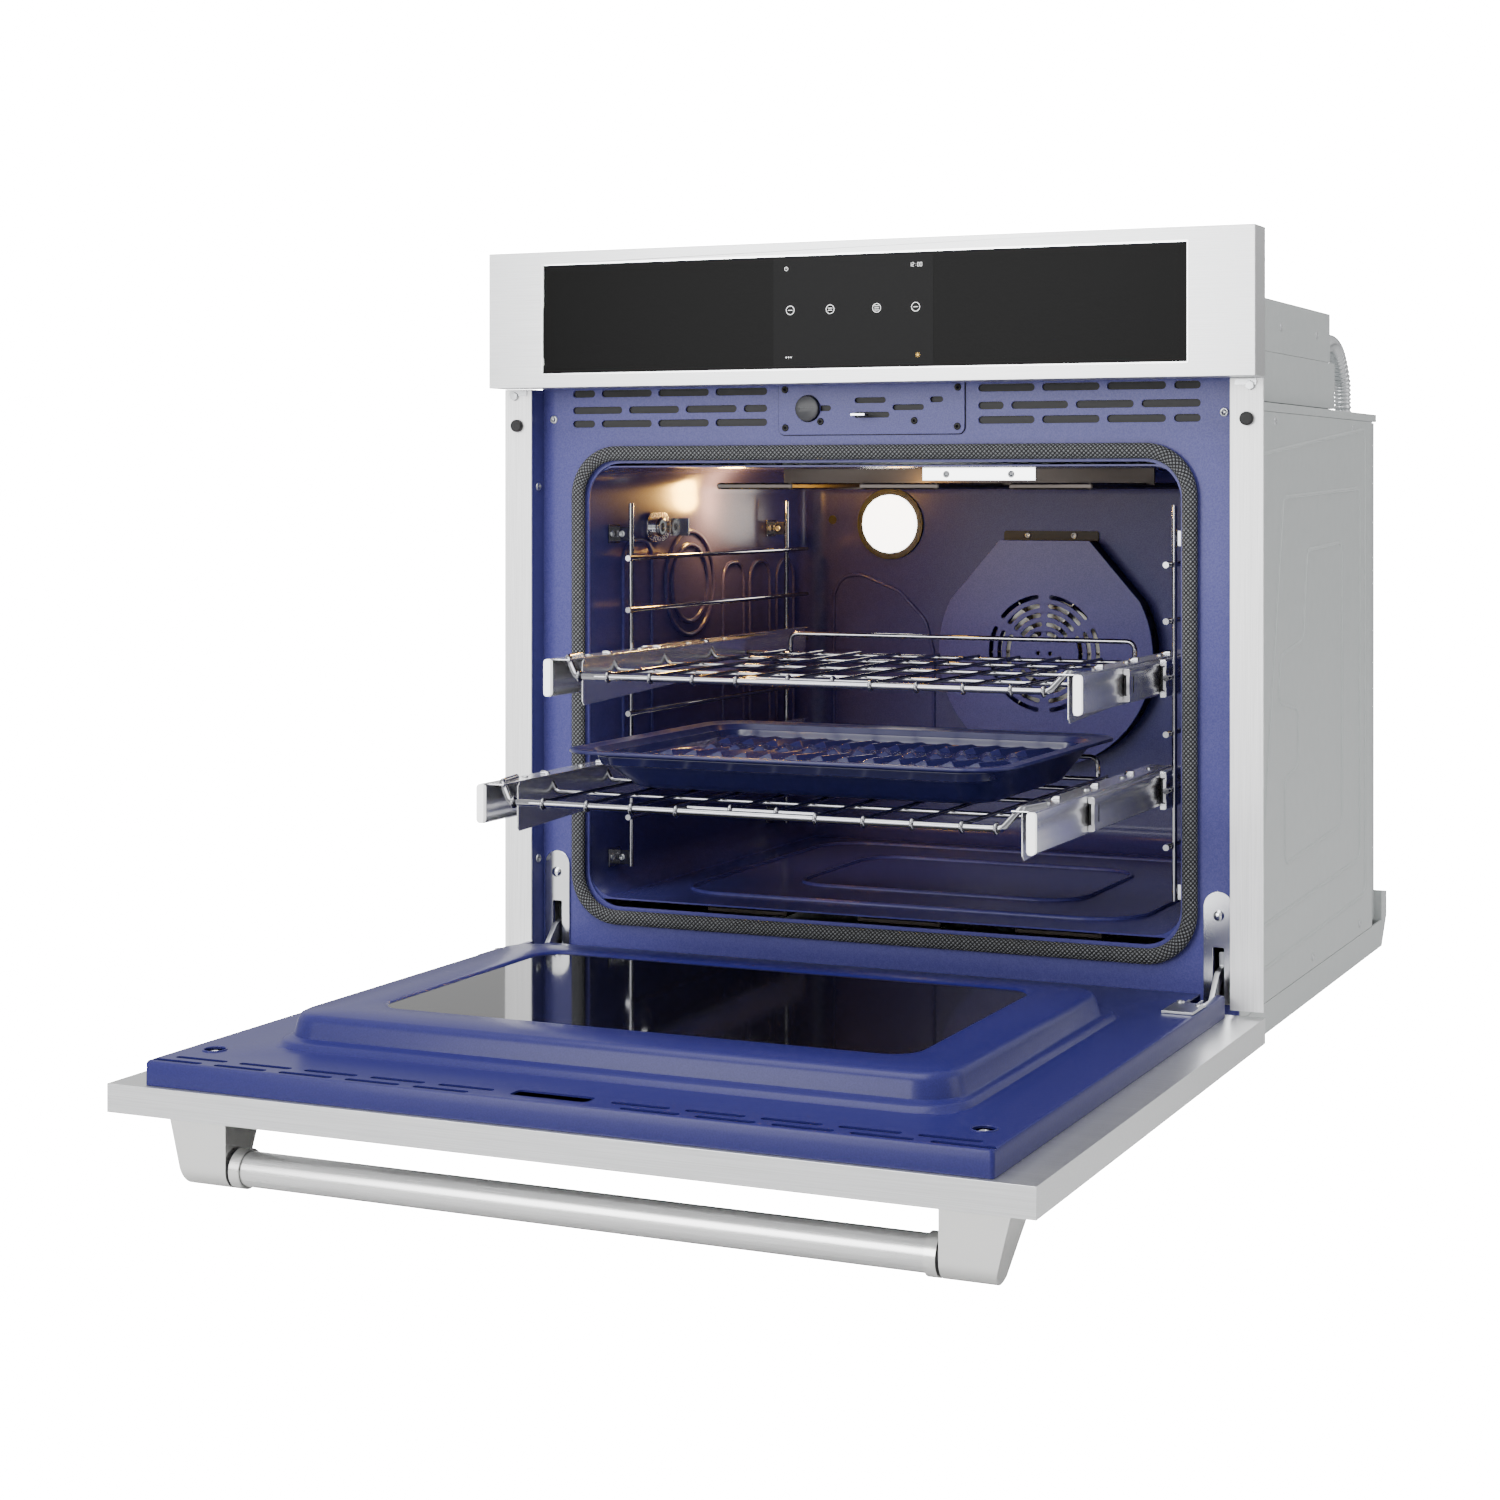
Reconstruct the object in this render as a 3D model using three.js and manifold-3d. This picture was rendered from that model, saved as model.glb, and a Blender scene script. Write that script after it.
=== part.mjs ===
// Built-in electric wall oven, 30 inch class, door open and both glide racks drawn out.
// Millimetres, +Z up, front towards -Y, origin in the middle of the base pan's underside.
import * as THREE from 'three';
import { mergeVertices } from 'three/addons/utils/BufferGeometryUtils.js';
import Module from 'manifold-3d';

const wasm = await Module();
wasm.setup();

// ---- Driving dimensions ----
const WIDTH = 756;             // control fascia and door
const HEIGHT = 717.5;          // underside of the base to the top of the fascia
const FRONT = -340;            // Y of the fascia's front face
const BODY_WIDTH = 700;        // cabinet body, outside its side panels
const BODY_DEPTH = 579;        // fascia face to the rear edge of the side panels
const COVER_DEPTH = 45;        // how far the back cover stands out behind the side panels
const SHEET = 1.5;             // body and enamel sheet
const GAP = 0.3;               // between pieces that touch

const BASE_HEIGHT = 28;
const BASE_SETBACK = 44;       // base front edge, behind the fascia face
const BASE_LIP = 26;           // rear upstand, beyond the back cover
const LIP_HEIGHT = 60;

const FASCIA_HEIGHT = 129.2;
const FASCIA_RETURN = 33.2;
const GLASS_WIDTH = 635.4;
const GLASS_HEIGHT = 102.8;
const GLASS_DROP = 12.9;       // fascia top to the glass
const GLASS_THICK = 4;

const COVER_TOP = 570.5;       // top of the body's lid
const LID_THICK = 8;
const HOUSING_HALF = 340;      // the two control housings on the lid
const UPPER_BOX = { z0: 618.8, z1: 667.5, depth: 430 };
const LOWER_BOX = { z0: 572.5, z1: 618.5, depth: 450 };
const HOUSING_START = 54;
const LOUVRES = 4;
const LOUVRE_PITCH = 8;
const LEAD_X = 325;            // steel conduit from the upper housing into the lid
const LEAD_DEPTH = 550;
const LEAD_EXIT = 637;
const LEAD_RADIUS = 9.5;

const STRIP_FACE = 28.2;       // depth of the trim strips' front face
const STRIP_THICK = 2;
const STRIP_FOOT = 42.2;       // height of the strips' lower ends
const FRAME_FACE = 51.6;       // depth of the enamelled front frame
const FRAME_TOP = 612;         // behind the fascia
const VENT_HEIGHT = 7;
const VENT_PITCH = 61.5;
const VENT_LENGTH = 54.5;
const VENT_INNER = 106.3;
const VENT_OUTER = 315;
const VENT_ROWS = [583.7, 567.7, 554.6];

const CAVITY_WIDTH = 596;
const CAVITY_FLOOR = 97.5;
const CAVITY_ROOF = 512.5;
const CAVITY_BACK = 552;       // depth of the back wall's face
const MOUTH_INSET = 1;         // the mouth's sides, inside the cavity's walls
const MOUTH_WIDTH = CAVITY_WIDTH - 2 * MOUTH_INSET;
const MOUTH_FLOOR = CAVITY_FLOOR - 8;
const MOUTH_ROOF = CAVITY_ROOF + 4;
const MOUTH_RADIUS = 34;
const GASKET_WIDTH = 14;
const GASKET_PROUD = 9.1;
const GASKET_MARGIN = 2.5;     // mouth edge to the gasket

const BUTTON = { x: -63.2, z: 566.8, radius: 12.2, proud: 5 };

const HINGE_DEPTH = 11;        // hinge axis, behind the fascia face
const HINGE_HEIGHT = 26;
const HINGE_X = 331.5;
const PIN_RADIUS = 3;
const PIN_CLEARANCE = 0.4;
const ARM_THICK = 5;
const DOOR_HEIGHT = 581.2;
const DOOR_REAR = 33;          // depth of the open door's hinge end
const SKIN_THICK = 22.3;
const SKIN_INNER = 37.3;       // height of the open door's steel lip
const LINER_WIDTH = 692.6;
const LINER_THICK = 19;
const PLUG_WIDTH = 570;         // raised middle of the inner panel
const PLUG_START = 85;         // from the door's front edge
const PLUG_LENGTH = 357;
const PLUG_HEIGHT = 25.3;
const STEP_WIDTH = 580;        // low step round the foot of the plug
const STEP_START = 75;
const STEP_LENGTH = 388;
const STEP_HEIGHT = 6;
const WINDOW_WIDTH = 458;
const WINDOW_LENGTH = 261;
const WINDOW_START = 144;      // from the door's front edge
const WINDOW_RADIUS = 22;
const OUTER_WINDOW_WIDTH = 520;
const OUTER_WINDOW_LENGTH = 300;

const BAR_RADIUS = 13.5;
const BAR_FROM_EDGE = 51;      // door's front edge to the bar's axis
const BAR_STANDOFF = 46;       // steel face to the bar's axis
const POST_X = 322;
const POST_WIDTH = 55;

const LADDER_STANDOFF = 21;    // cavity wall to the ladders' uprights
const LADDER_X = CAVITY_WIDTH / 2 - LADDER_STANDOFF;
const LADDER_FRONT = 99;
const LADDER_REAR = 455;
const LADDER_FOOT = 121.5;
const LADDER_TOP = 477.5;
const LEVEL_PITCH = 50.6;
const LOWEST_LEVEL = 171;
const LEVELS = 6;
const LEVEL_X = LADDER_X - 4;  // the level wires run inside the uprights
const WIRE = 2.4;              // wire radius of the ladders and the racks

const RAIL_HEIGHT = 34;
const RAIL_LENGTH = 376;
const RAIL_STORED = 90;        // depth of a pushed-in rack's front caps
const RAIL_ROOM = 23;          // level wire to the inner face of the moving member
const RAIL_INNER = LEVEL_X - RAIL_ROOM;
const MEMBER = 5.7;            // width of one slide member
const UPPER_OUT = 190;         // how far the upper rack is drawn out
const LOWER_OUT = 303;
const UPPER_MID_OUT = 83;
const LOWER_MID_OUT = 179;
const RACK_WIRE_PITCH = 42.9;
const SET_BACK = 16;           // the short bar behind the middle of a rack's front bar

const PAN_MARGIN = 40;         // pan rim to the slides, each side
const PAN_WIDTH = 2 * (RAIL_INNER - PAN_MARGIN);
const PAN_LENGTH = 325;
const PAN_DEPTH = 38;
const LEG_INSET = 60;          // pan rim to the grid's legs
const PAN_BACK_GAP = 3;        // pan's rear rim, in front of the rack's rear end

const FAN_HEIGHT = 311.5;      // convection fan axis above the base
const FAN_RADIUS = 62;
const COVER_PROUD = 25;
const LAMP = { x: -192.5, z: 451.7, radius: 33 };

// ---- Finishes ----
const finish = (color, roughness, metalness) => new THREE.MeshStandardMaterial({ color, roughness,
  metalness });
const BRUSHED = finish('#d9d9d6', 0.35, 0.9);
const POLISHED = finish('#e6e6e4', 0.15, 1);
const CHROME = finish('#dcdcdc', 0.12, 1);
const GALVANISED = finish('#b2b6b6', 0.55, 0.7);
const ENAMEL = finish('#3d4180', 0.3, 0.1);
const BLACK_GLASS = finish('#151517', 0.08, 0);
const DARK_GLASS = finish('#1b1b24', 0.05, 0);
const WOVEN = finish('#4d4e5a', 0.8, 0.3);
const BLACK_PLASTIC = finish('#1d1d1d', 0.6, 0);
const HEATER = finish('#3a3a3c', 0.5, 0.6);
const CIRCUIT = finish('#1f4a33', 0.6, 0);
const GLOWING = finish('#ffffff', 0.3, 0);

const oven = new THREE.Group();

// ---- Geometry in plain words ----
const deep = (d) => FRONT + d;

function solid(geometry) {
  geometry.deleteAttribute('normal');
  geometry.deleteAttribute('uv');
  const merged = mergeVertices(geometry, 1e-4);
  return new wasm.Manifold(new wasm.Mesh({
    numProp: 3,
    vertProperties: new Float32Array(merged.attributes.position.array),
    triVerts: new Uint32Array(merged.index.array),
  }));
}

function block(x0, x1, y0, y1, z0, z1) {
  const geometry = new THREE.BoxGeometry(x1 - x0, y1 - y0, z1 - z0);
  return solid(geometry.translate((x0 + x1) / 2, (y0 + y1) / 2, (z0 + z1) / 2));
}

// A shape drawn in the two other axes (X Z, Y Z or X Y) and drawn out along one axis.
const DRAWING_PLANES = {
  x: [[0, 1, 0], [0, 0, 1], [1, 0, 0]],
  y: [[1, 0, 0], [0, 0, 1], [0, -1, 0]],
  z: [[1, 0, 0], [0, 1, 0], [0, 0, 1]],
};

function prism(shape, axis, from, to, curveSegments = 4) {
  const geometry = new THREE.ExtrudeGeometry(shape, { depth: to - from, bevelEnabled: false,
    curveSegments });
  const basis = DRAWING_PLANES[axis].map((v) => new THREE.Vector3(...v));
  geometry.applyMatrix4(new THREE.Matrix4().makeBasis(...basis));
  const start = axis === 'y' ? to : from;
  geometry.translate(axis === 'x' ? start : 0, axis === 'y' ? start : 0, axis === 'z' ? start : 0);
  return solid(geometry);
}

function roundedRect(cx, cy, width, height, radius) {
  const [x0, x1, y0, y1] = [cx - width / 2, cx + width / 2, cy - height / 2, cy + height / 2];
  const shape = new THREE.Shape();
  shape.moveTo(x1, y1 - radius);
  shape.absarc(x1 - radius, y1 - radius, radius, 0, Math.PI / 2);
  shape.absarc(x0 + radius, y1 - radius, radius, Math.PI / 2, Math.PI);
  shape.absarc(x0 + radius, y0 + radius, radius, Math.PI, Math.PI * 1.5);
  shape.absarc(x1 - radius, y0 + radius, radius, Math.PI * 1.5, Math.PI * 2);
  return shape;
}

const slot = (cx, cy, width, height) => roundedRect(cx, cy, width, height, Math.min(width,
  height) / 2 - 0.01);

function outline(points) {
  return new THREE.Shape(points.map(([a, b]) => new THREE.Vector2(a, b)));
}

// A straight round bar between two points, run on at both ends by `extra`.
function bar(from, to, radius, sides = 8, extra = 0) {
  const start = new THREE.Vector3(...from);
  const end = new THREE.Vector3(...to);
  const way = end.clone().sub(start).normalize();
  const length = start.distanceTo(end) + 2 * extra;
  const geometry = new THREE.CylinderGeometry(radius, radius, length, sides);
  const turn = new THREE.Quaternion().setFromUnitVectors(new THREE.Vector3(0, 1, 0), way);
  geometry.applyQuaternion(turn);
  const middle = start.add(end).multiplyScalar(0.5);
  return solid(geometry.translate(middle.x, middle.y, middle.z));
}

// Bent wire: straight bars that run into each other at the bends.
function wire(points, radius = WIRE, sides = 8) {
  const bars = points.slice(1).map((point, i) => bar(points[i], point, radius, sides, radius * 0.6));
  return wasm.Manifold.union(bars);
}

function shell(x0, x1, y0, y1, z0, z1, wall, open) {
  const inner = { x0: x0 + wall, x1: x1 - wall, y0: y0 + wall, y1: y1 - wall, z0: z0 + wall,
    z1: z1 - wall };
  inner[open] += open.endsWith('0') ? -2 * wall : 2 * wall;
  const cut = block(inner.x0, inner.x1, inner.y0, inner.y1, inner.z0, inner.z1);
  return block(x0, x1, y0, y1, z0, z1).subtract(cut);
}

function add(name, piece, material) {
  const { vertProperties, triVerts } = piece.getMesh();
  const geometry = new THREE.BufferGeometry();
  geometry.setAttribute('position', new THREE.BufferAttribute(vertProperties, 3));
  geometry.setIndex(new THREE.BufferAttribute(triVerts, 1));
  geometry.computeVertexNormals();
  const mesh = new THREE.Mesh(geometry, material);
  mesh.name = name;
  oven.add(mesh);
}

const SIDES = [['left', -1], ['right', 1]];
const mirrorIf = (piece, side) => (side < 0 ? piece.mirror([1, 0, 0]) : piece);

// ---- Cabinet body ----
// The door switch reaches back between the lid and the lower housing.
function buttonRoom() {
  const half = BUTTON.radius + 4;
  return block(BUTTON.x - half, BUTTON.x + half, deep(FRAME_FACE), deep(FRAME_FACE + 36),
    BUTTON.z - half, BUTTON.z + half);
}

const bodyHalf = BODY_WIDTH / 2;
const rearFace = BODY_DEPTH + COVER_DEPTH;
const frameBack = FRAME_FACE + 2;
const panelTop = COVER_TOP - LID_THICK - GAP;

function buildCabinet() {
  const tray = shell(-bodyHalf, bodyHalf, deep(BASE_SETBACK), deep(rearFace), 0, BASE_HEIGHT, 2, 'z1');
  const lip = (x, inset, rise) => {
    const [near, far] = [deep(rearFace) + GAP + inset, deep(rearFace + BASE_LIP) - inset];
    return prism(outline([[near, inset], [near + 2, inset], [far, LIP_HEIGHT / 2], [far,
      LIP_HEIGHT - 4 + rise],
      [near, LIP_HEIGHT + rise]]), 'x', -x, x);
  };
  const joint = block(-bodyHalf, bodyHalf, deep(rearFace - 1), deep(rearFace + 2), 0, 2);
  add('base_pan', tray.add(lip(bodyHalf, 0, 0).subtract(lip(bodyHalf - 2, 2, 8))).add(joint), GALVANISED);

  for (const [name, side] of SIDES) {
    const sheet = block(bodyHalf - SHEET, bodyHalf, deep(frameBack + GAP), deep(BODY_DEPTH),
      BASE_HEIGHT + GAP, panelTop);
    const foot = block(bodyHalf - 14, bodyHalf, deep(frameBack + GAP), deep(BODY_DEPTH),
      BASE_HEIGHT + GAP, BASE_HEIGHT + GAP + 2);
    add(`side_panel_${name}`, mirrorIf(sheet.add(foot), side), GALVANISED);
  }

  const cover = shell(-bodyHalf + 8, bodyHalf - 8, deep(BODY_DEPTH + GAP), deep(rearFace),
    BASE_HEIGHT + GAP, panelTop, SHEET, 'y0');
  add('back_cover', cover, GALVANISED);

  const lid = shell(-bodyHalf, bodyHalf, deep(frameBack + GAP), deep(BODY_DEPTH + 20), panelTop + GAP,
    COVER_TOP, SHEET, 'z0');
  const lead = bar([LEAD_X, deep(LEAD_DEPTH), panelTop], [LEAD_X, deep(LEAD_DEPTH), HEIGHT],
    LEAD_RADIUS + 1, 16);
  add('top_cover', lid.subtract(lead).subtract(buttonRoom()), GALVANISED);
}

// ---- Control panel and its housings ----

function buildControls() {
  const half = WIDTH / 2;
  const bottom = HEIGHT - FASCIA_HEIGHT;
  const glassMiddle = HEIGHT - GLASS_DROP - GLASS_HEIGHT / 2;
  const casing = shell(-half, half, deep(0), deep(FASCIA_RETURN), bottom, HEIGHT, SHEET, 'y1');
  const window = block(-GLASS_WIDTH / 2 - GAP, GLASS_WIDTH / 2 + GAP, deep(-1), deep(SHEET + 1),
    glassMiddle - GLASS_HEIGHT / 2 - GAP, glassMiddle + GLASS_HEIGHT / 2 + GAP);
  add('fascia', casing.subtract(window), BRUSHED);

  const glass = block(-GLASS_WIDTH / 2, GLASS_WIDTH / 2, deep(0.2), deep(GLASS_THICK),
    glassMiddle - GLASS_HEIGHT / 2, glassMiddle + GLASS_HEIGHT / 2);
  add('control_glass', glass, BLACK_GLASS);
  add('control_board', block(-150, 150, deep(GLASS_THICK + GAP), deep(GLASS_THICK + 14),
    glassMiddle - 45, glassMiddle + 45), CIRCUIT);

  const upper = shell(-HOUSING_HALF, HOUSING_HALF, deep(FASCIA_RETURN + GAP), deep(UPPER_BOX.depth),
    UPPER_BOX.z0, UPPER_BOX.z1, SHEET, 'y0');
  const socket = bar([LEAD_X, deep(UPPER_BOX.depth - 4), LEAD_EXIT], [LEAD_X,
    deep(UPPER_BOX.depth + 4), LEAD_EXIT], LEAD_RADIUS - 1, 16);
  add('control_housing_upper', upper.subtract(socket), GALVANISED);

  let lower = shell(-HOUSING_HALF, HOUSING_HALF, deep(HOUSING_START), deep(LOWER_BOX.depth),
    LOWER_BOX.z0, LOWER_BOX.z1, SHEET, 'y0');
  for (let i = 0; i < LOUVRES; i++) {
    const depth = deep(FRAME_FACE + 16 + i * LOUVRE_PITCH);
    lower = lower.subtract(prism(slot(depth, 594, 4, 14), 'x', HOUSING_HALF - 4, HOUSING_HALF + 4, 1));
  }
  add('control_housing_lower', lower.subtract(buttonRoom()), GALVANISED);
}

// Steel conduit: out of the upper housing's rear, over in an arc and down into the lid.
function buildLead() {
  const start = deep(UPPER_BOX.depth + GAP);
  const route = new THREE.CatmullRomCurve3([
    [start, LEAD_EXIT], [start + 25, LEAD_EXIT], [start + 62, LEAD_EXIT + 4], [start + 92, LEAD_EXIT - 7],
    [deep(LEAD_DEPTH) - 4, LEAD_EXIT - 33], [deep(LEAD_DEPTH), COVER_TOP + 8], [deep(LEAD_DEPTH),
      panelTop + 4],
  ].map(([y, z]) => new THREE.Vector3(LEAD_X, y, z)));
  const section = new THREE.Shape();
  section.absarc(0, 0, LEAD_RADIUS, 0, Math.PI * 2);
  const geometry = new THREE.ExtrudeGeometry(section, { steps: 18, extrudePath: route,
    curveSegments: 5, bevelEnabled: false });
  add('conduit', solid(geometry), GALVANISED);
}

// ---- Trim strips, enamelled front frame, gasket ----
const LOCK_WIDTH = 186.8;
const LOCK_FOOT = 542.5;
const LOCK_TOP = 598;
const PLAIN_SLOTS = [[-46, 567, 14], [0, 573.8, 32], [38, 566.8, 32], [66, 573.8, 13]];   // x, z, length
const PLAIN_SLOT_HEIGHT = 5.5;
const LATCH_SLOT = { x: 2, z: 560.4, length: 36, height: 7 };
const LATCH_WIDTH = 10;
const LATCH_HALF = 1.25;       // half the blade's thickness
const LATCH_HOME = 2.5;        // slot's end to the resting blade
const LATCH_NOSE = 4.5;
const LATCH_REACH = 17;
const ARM_SLOT = { foot: 44, top: 91.5, width: 10 };
const frameHalf = bodyHalf - 0.8;

function ventSlots() {
  const cuts = [];
  VENT_ROWS.forEach((z, row) => {
    const offset = row === 1 ? VENT_PITCH / 2 : 0;
    for (let i = -1; i < 4; i++) {
      const start = Math.max(VENT_INNER, VENT_INNER + i * VENT_PITCH + offset);
      const end = Math.min(VENT_OUTER, VENT_INNER + i * VENT_PITCH + offset + VENT_LENGTH);
      if (end - start < 2 * VENT_HEIGHT) continue;
      for (const side of [-1, 1]) {
        cuts.push(prism(slot(side * (start + end) / 2, z, end - start, VENT_HEIGHT), 'y',
          deep(FRAME_FACE - 1), deep(frameBack + 1), 1));
      }
    }
  });
  return wasm.Manifold.union(cuts);
}

function buildFront() {
  const top = HEIGHT - FASCIA_HEIGHT;
  for (const [name, side] of SIDES) {
    const face = block(frameHalf - SHEET, WIDTH / 2 - 0.5, deep(STRIP_FACE),
      deep(STRIP_FACE + STRIP_THICK), STRIP_FOOT, top - GAP);
    const leg = block(frameHalf + GAP, frameHalf + GAP + SHEET, deep(STRIP_FACE + 1),
      deep(FRAME_FACE - 2), STRIP_FOOT, top - GAP);
    add(`trim_strip_${name}`, mirrorIf(face.add(leg), side), BRUSHED);
  }

  const frameFoot = BASE_HEIGHT + GAP + 2.3;
  let frame = block(-frameHalf, frameHalf, deep(FRAME_FACE), deep(frameBack), frameFoot, FRAME_TOP);
  for (const side of [-1, 1]) {
    const flange = block(frameHalf - SHEET, frameHalf, deep(STRIP_FACE + STRIP_THICK + GAP),
      deep(FRAME_FACE + 1), STRIP_FOOT, top - GAP);
    frame = frame.add(mirrorIf(flange, side));
    const armSlot = block(HINGE_X - ARM_SLOT.width / 2, HINGE_X + ARM_SLOT.width / 2,
      deep(FRAME_FACE - 1), deep(frameBack + 1),
      ARM_SLOT.foot, ARM_SLOT.top);
    frame = frame.subtract(mirrorIf(armSlot, side));
  }
  const mouthMiddle = (MOUTH_FLOOR + MOUTH_ROOF) / 2;
  const mouth = roundedRect(0, mouthMiddle, MOUTH_WIDTH, MOUTH_ROOF - MOUTH_FLOOR, MOUTH_RADIUS);
  frame = frame.subtract(prism(mouth, 'y', deep(FRAME_FACE - 1), deep(frameBack + 1), 3));
  const lockSeat = block(-LOCK_WIDTH / 2 + 8, LOCK_WIDTH / 2 - 8, deep(FRAME_FACE - 1),
    deep(frameBack + 1), LOCK_FOOT + 6, LOCK_TOP - 4);
  add('front_frame', frame.subtract(lockSeat).subtract(ventSlots()), ENAMEL);

  const ringWidth = MOUTH_WIDTH + 2 * GASKET_MARGIN;
  const ringHeight = MOUTH_ROOF - MOUTH_FLOOR + 2 * GASKET_MARGIN;
  const ring = roundedRect(0, mouthMiddle, ringWidth + 2 * GASKET_WIDTH, ringHeight + 2 * GASKET_WIDTH,
    MOUTH_RADIUS + GASKET_WIDTH);
  ring.holes.push(roundedRect(0, mouthMiddle, ringWidth, ringHeight, MOUTH_RADIUS));
  add('gasket', prism(ring, 'y', deep(FRAME_FACE - GASKET_PROUD - GAP), deep(FRAME_FACE - GAP), 3), WOVEN);
}

// ---- Door lock plate, latch hook and door switch ----
function buildLock() {
  const y0 = deep(FRAME_FACE - 1.5 - GAP);
  const y1 = deep(FRAME_FACE - GAP);
  const middle = (LOCK_FOOT + LOCK_TOP) / 2;
  let plate = prism(roundedRect(0, middle, LOCK_WIDTH, LOCK_TOP - LOCK_FOOT, 6), 'y', y0, y1, 3);
  const latchHole = slot(LATCH_SLOT.x, LATCH_SLOT.z, LATCH_SLOT.length, LATCH_SLOT.height);
  const buttonHole = new THREE.Shape();
  buttonHole.absarc(BUTTON.x, BUTTON.z, BUTTON.radius + 2 * GAP, 0, Math.PI * 2);
  for (const [x, z, length] of PLAIN_SLOTS) {
    plate = plate.subtract(prism(slot(x, z, length, PLAIN_SLOT_HEIGHT), 'y', y0 - 1, y1 + 1, 1));
  }
  plate = plate.subtract(prism(latchHole, 'y', y0 - 1, y1 + 1, 1)).subtract(prism(buttonHole, 'y',
    y0 - 1, y1 + 1, 8));
  add('lock_plate', plate, ENAMEL);

  const [low, high] = [LATCH_SLOT.z - LATCH_HALF, LATCH_SLOT.z + LATCH_HALF];
  const tip = deep(FRAME_FACE - LATCH_REACH);
  const left = LATCH_SLOT.x - LATCH_SLOT.length / 2 + LATCH_HOME;
  const shank = block(left, left + LATCH_WIDTH, tip, deep(frameBack + 26), low, high);
  const nose = block(left + LATCH_WIDTH - 0.5, left + LATCH_WIDTH + LATCH_NOSE, tip, tip + 4, low, high);
  add('lock_latch', shank.add(nose), CHROME);

  const cap = bar([BUTTON.x, deep(FRAME_FACE - BUTTON.proud), BUTTON.z], [BUTTON.x,
    deep(FRAME_FACE + 6), BUTTON.z], BUTTON.radius, 16);
  const stem = bar([BUTTON.x, deep(FRAME_FACE + 5), BUTTON.z], [BUTTON.x, deep(FRAME_FACE + 22),
    BUTTON.z], 4, 10);
  add('door_switch_button', cap.add(stem), BLACK_PLASTIC);
}

// ---- Cavity liner ----
const cavityHalf = CAVITY_WIDTH / 2;
const cavityStart = frameBack + GAP;

function buildCavity() {
  const far = CAVITY_BACK - GAP;
  add('cavity_roof', block(-cavityHalf, cavityHalf, deep(cavityStart), deep(far), CAVITY_ROOF,
    CAVITY_ROOF + SHEET), ENAMEL);
  add('cavity_floor', block(-cavityHalf, cavityHalf, deep(cavityStart), deep(far),
    CAVITY_FLOOR - SHEET, CAVITY_FLOOR), ENAMEL);
  for (const [name, side] of SIDES) {
    const wall = block(cavityHalf + GAP, cavityHalf + GAP + SHEET, deep(cavityStart), deep(far),
      CAVITY_FLOOR - SHEET, CAVITY_ROOF + SHEET);
    add(`cavity_side_${name}`, mirrorIf(wall, side), ENAMEL);
  }
  const back = block(-cavityHalf - SHEET, cavityHalf + SHEET, deep(CAVITY_BACK),
    deep(CAVITY_BACK + SHEET), CAVITY_FLOOR - SHEET, CAVITY_ROOF + SHEET);
  const lampHole = bar([LAMP.x, deep(CAVITY_BACK - 2), LAMP.z], [LAMP.x, deep(CAVITY_BACK + 4),
    LAMP.z], LAMP.radius + GAP, 20);
  const shaftHole = bar([0, deep(CAVITY_BACK - 2), FAN_HEIGHT], [0, deep(CAVITY_BACK + 4), FAN_HEIGHT],
    8, 12);
  add('cavity_back', back.subtract(lampHole).subtract(shaftHole), ENAMEL);
  const lens = bar([LAMP.x, deep(CAVITY_BACK - 7), LAMP.z], [LAMP.x, deep(CAVITY_BACK + 6), LAMP.z],
    LAMP.radius, 20);
  add('lamp_lens', lens, GLOWING);
}

// ---- Convection fan: cover with arc slots, ring heater, blade and motor ----
const COVER_TOP_EDGE = FAN_HEIGHT + 123.5;
const COVER_HALF = 124;
const COVER_FLAT = 52;
const SLOT_RINGS = [22, 32, 42, 52, 62];
const SLOT_WIDTH = 4.4;
const HEATER_RING = 88;
const HEATER_RADIUS = 3.2;
const HEATER_DEPTH = CAVITY_BACK - 11;

function coverOutline(grow) {
  const shape = new THREE.Shape();
  const radius = COVER_HALF + grow;
  const start = THREE.MathUtils.degToRad(28);
  shape.moveTo(-COVER_FLAT - grow, COVER_TOP_EDGE + grow);
  shape.lineTo(radius * -Math.cos(start), FAN_HEIGHT + radius * Math.sin(start));
  shape.absarc(0, FAN_HEIGHT, radius, Math.PI - start, Math.PI * 2 + start);
  shape.lineTo(COVER_FLAT + grow, COVER_TOP_EDGE + grow);
  shape.closePath();
  return shape;
}

function arcSlot(radius, width, from, to) {
  const shape = new THREE.Shape();
  shape.absarc(0, FAN_HEIGHT, radius + width / 2, from, to);
  shape.absarc(0, FAN_HEIGHT, radius - width / 2, to, from, true);
  shape.closePath();
  return shape;
}

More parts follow.
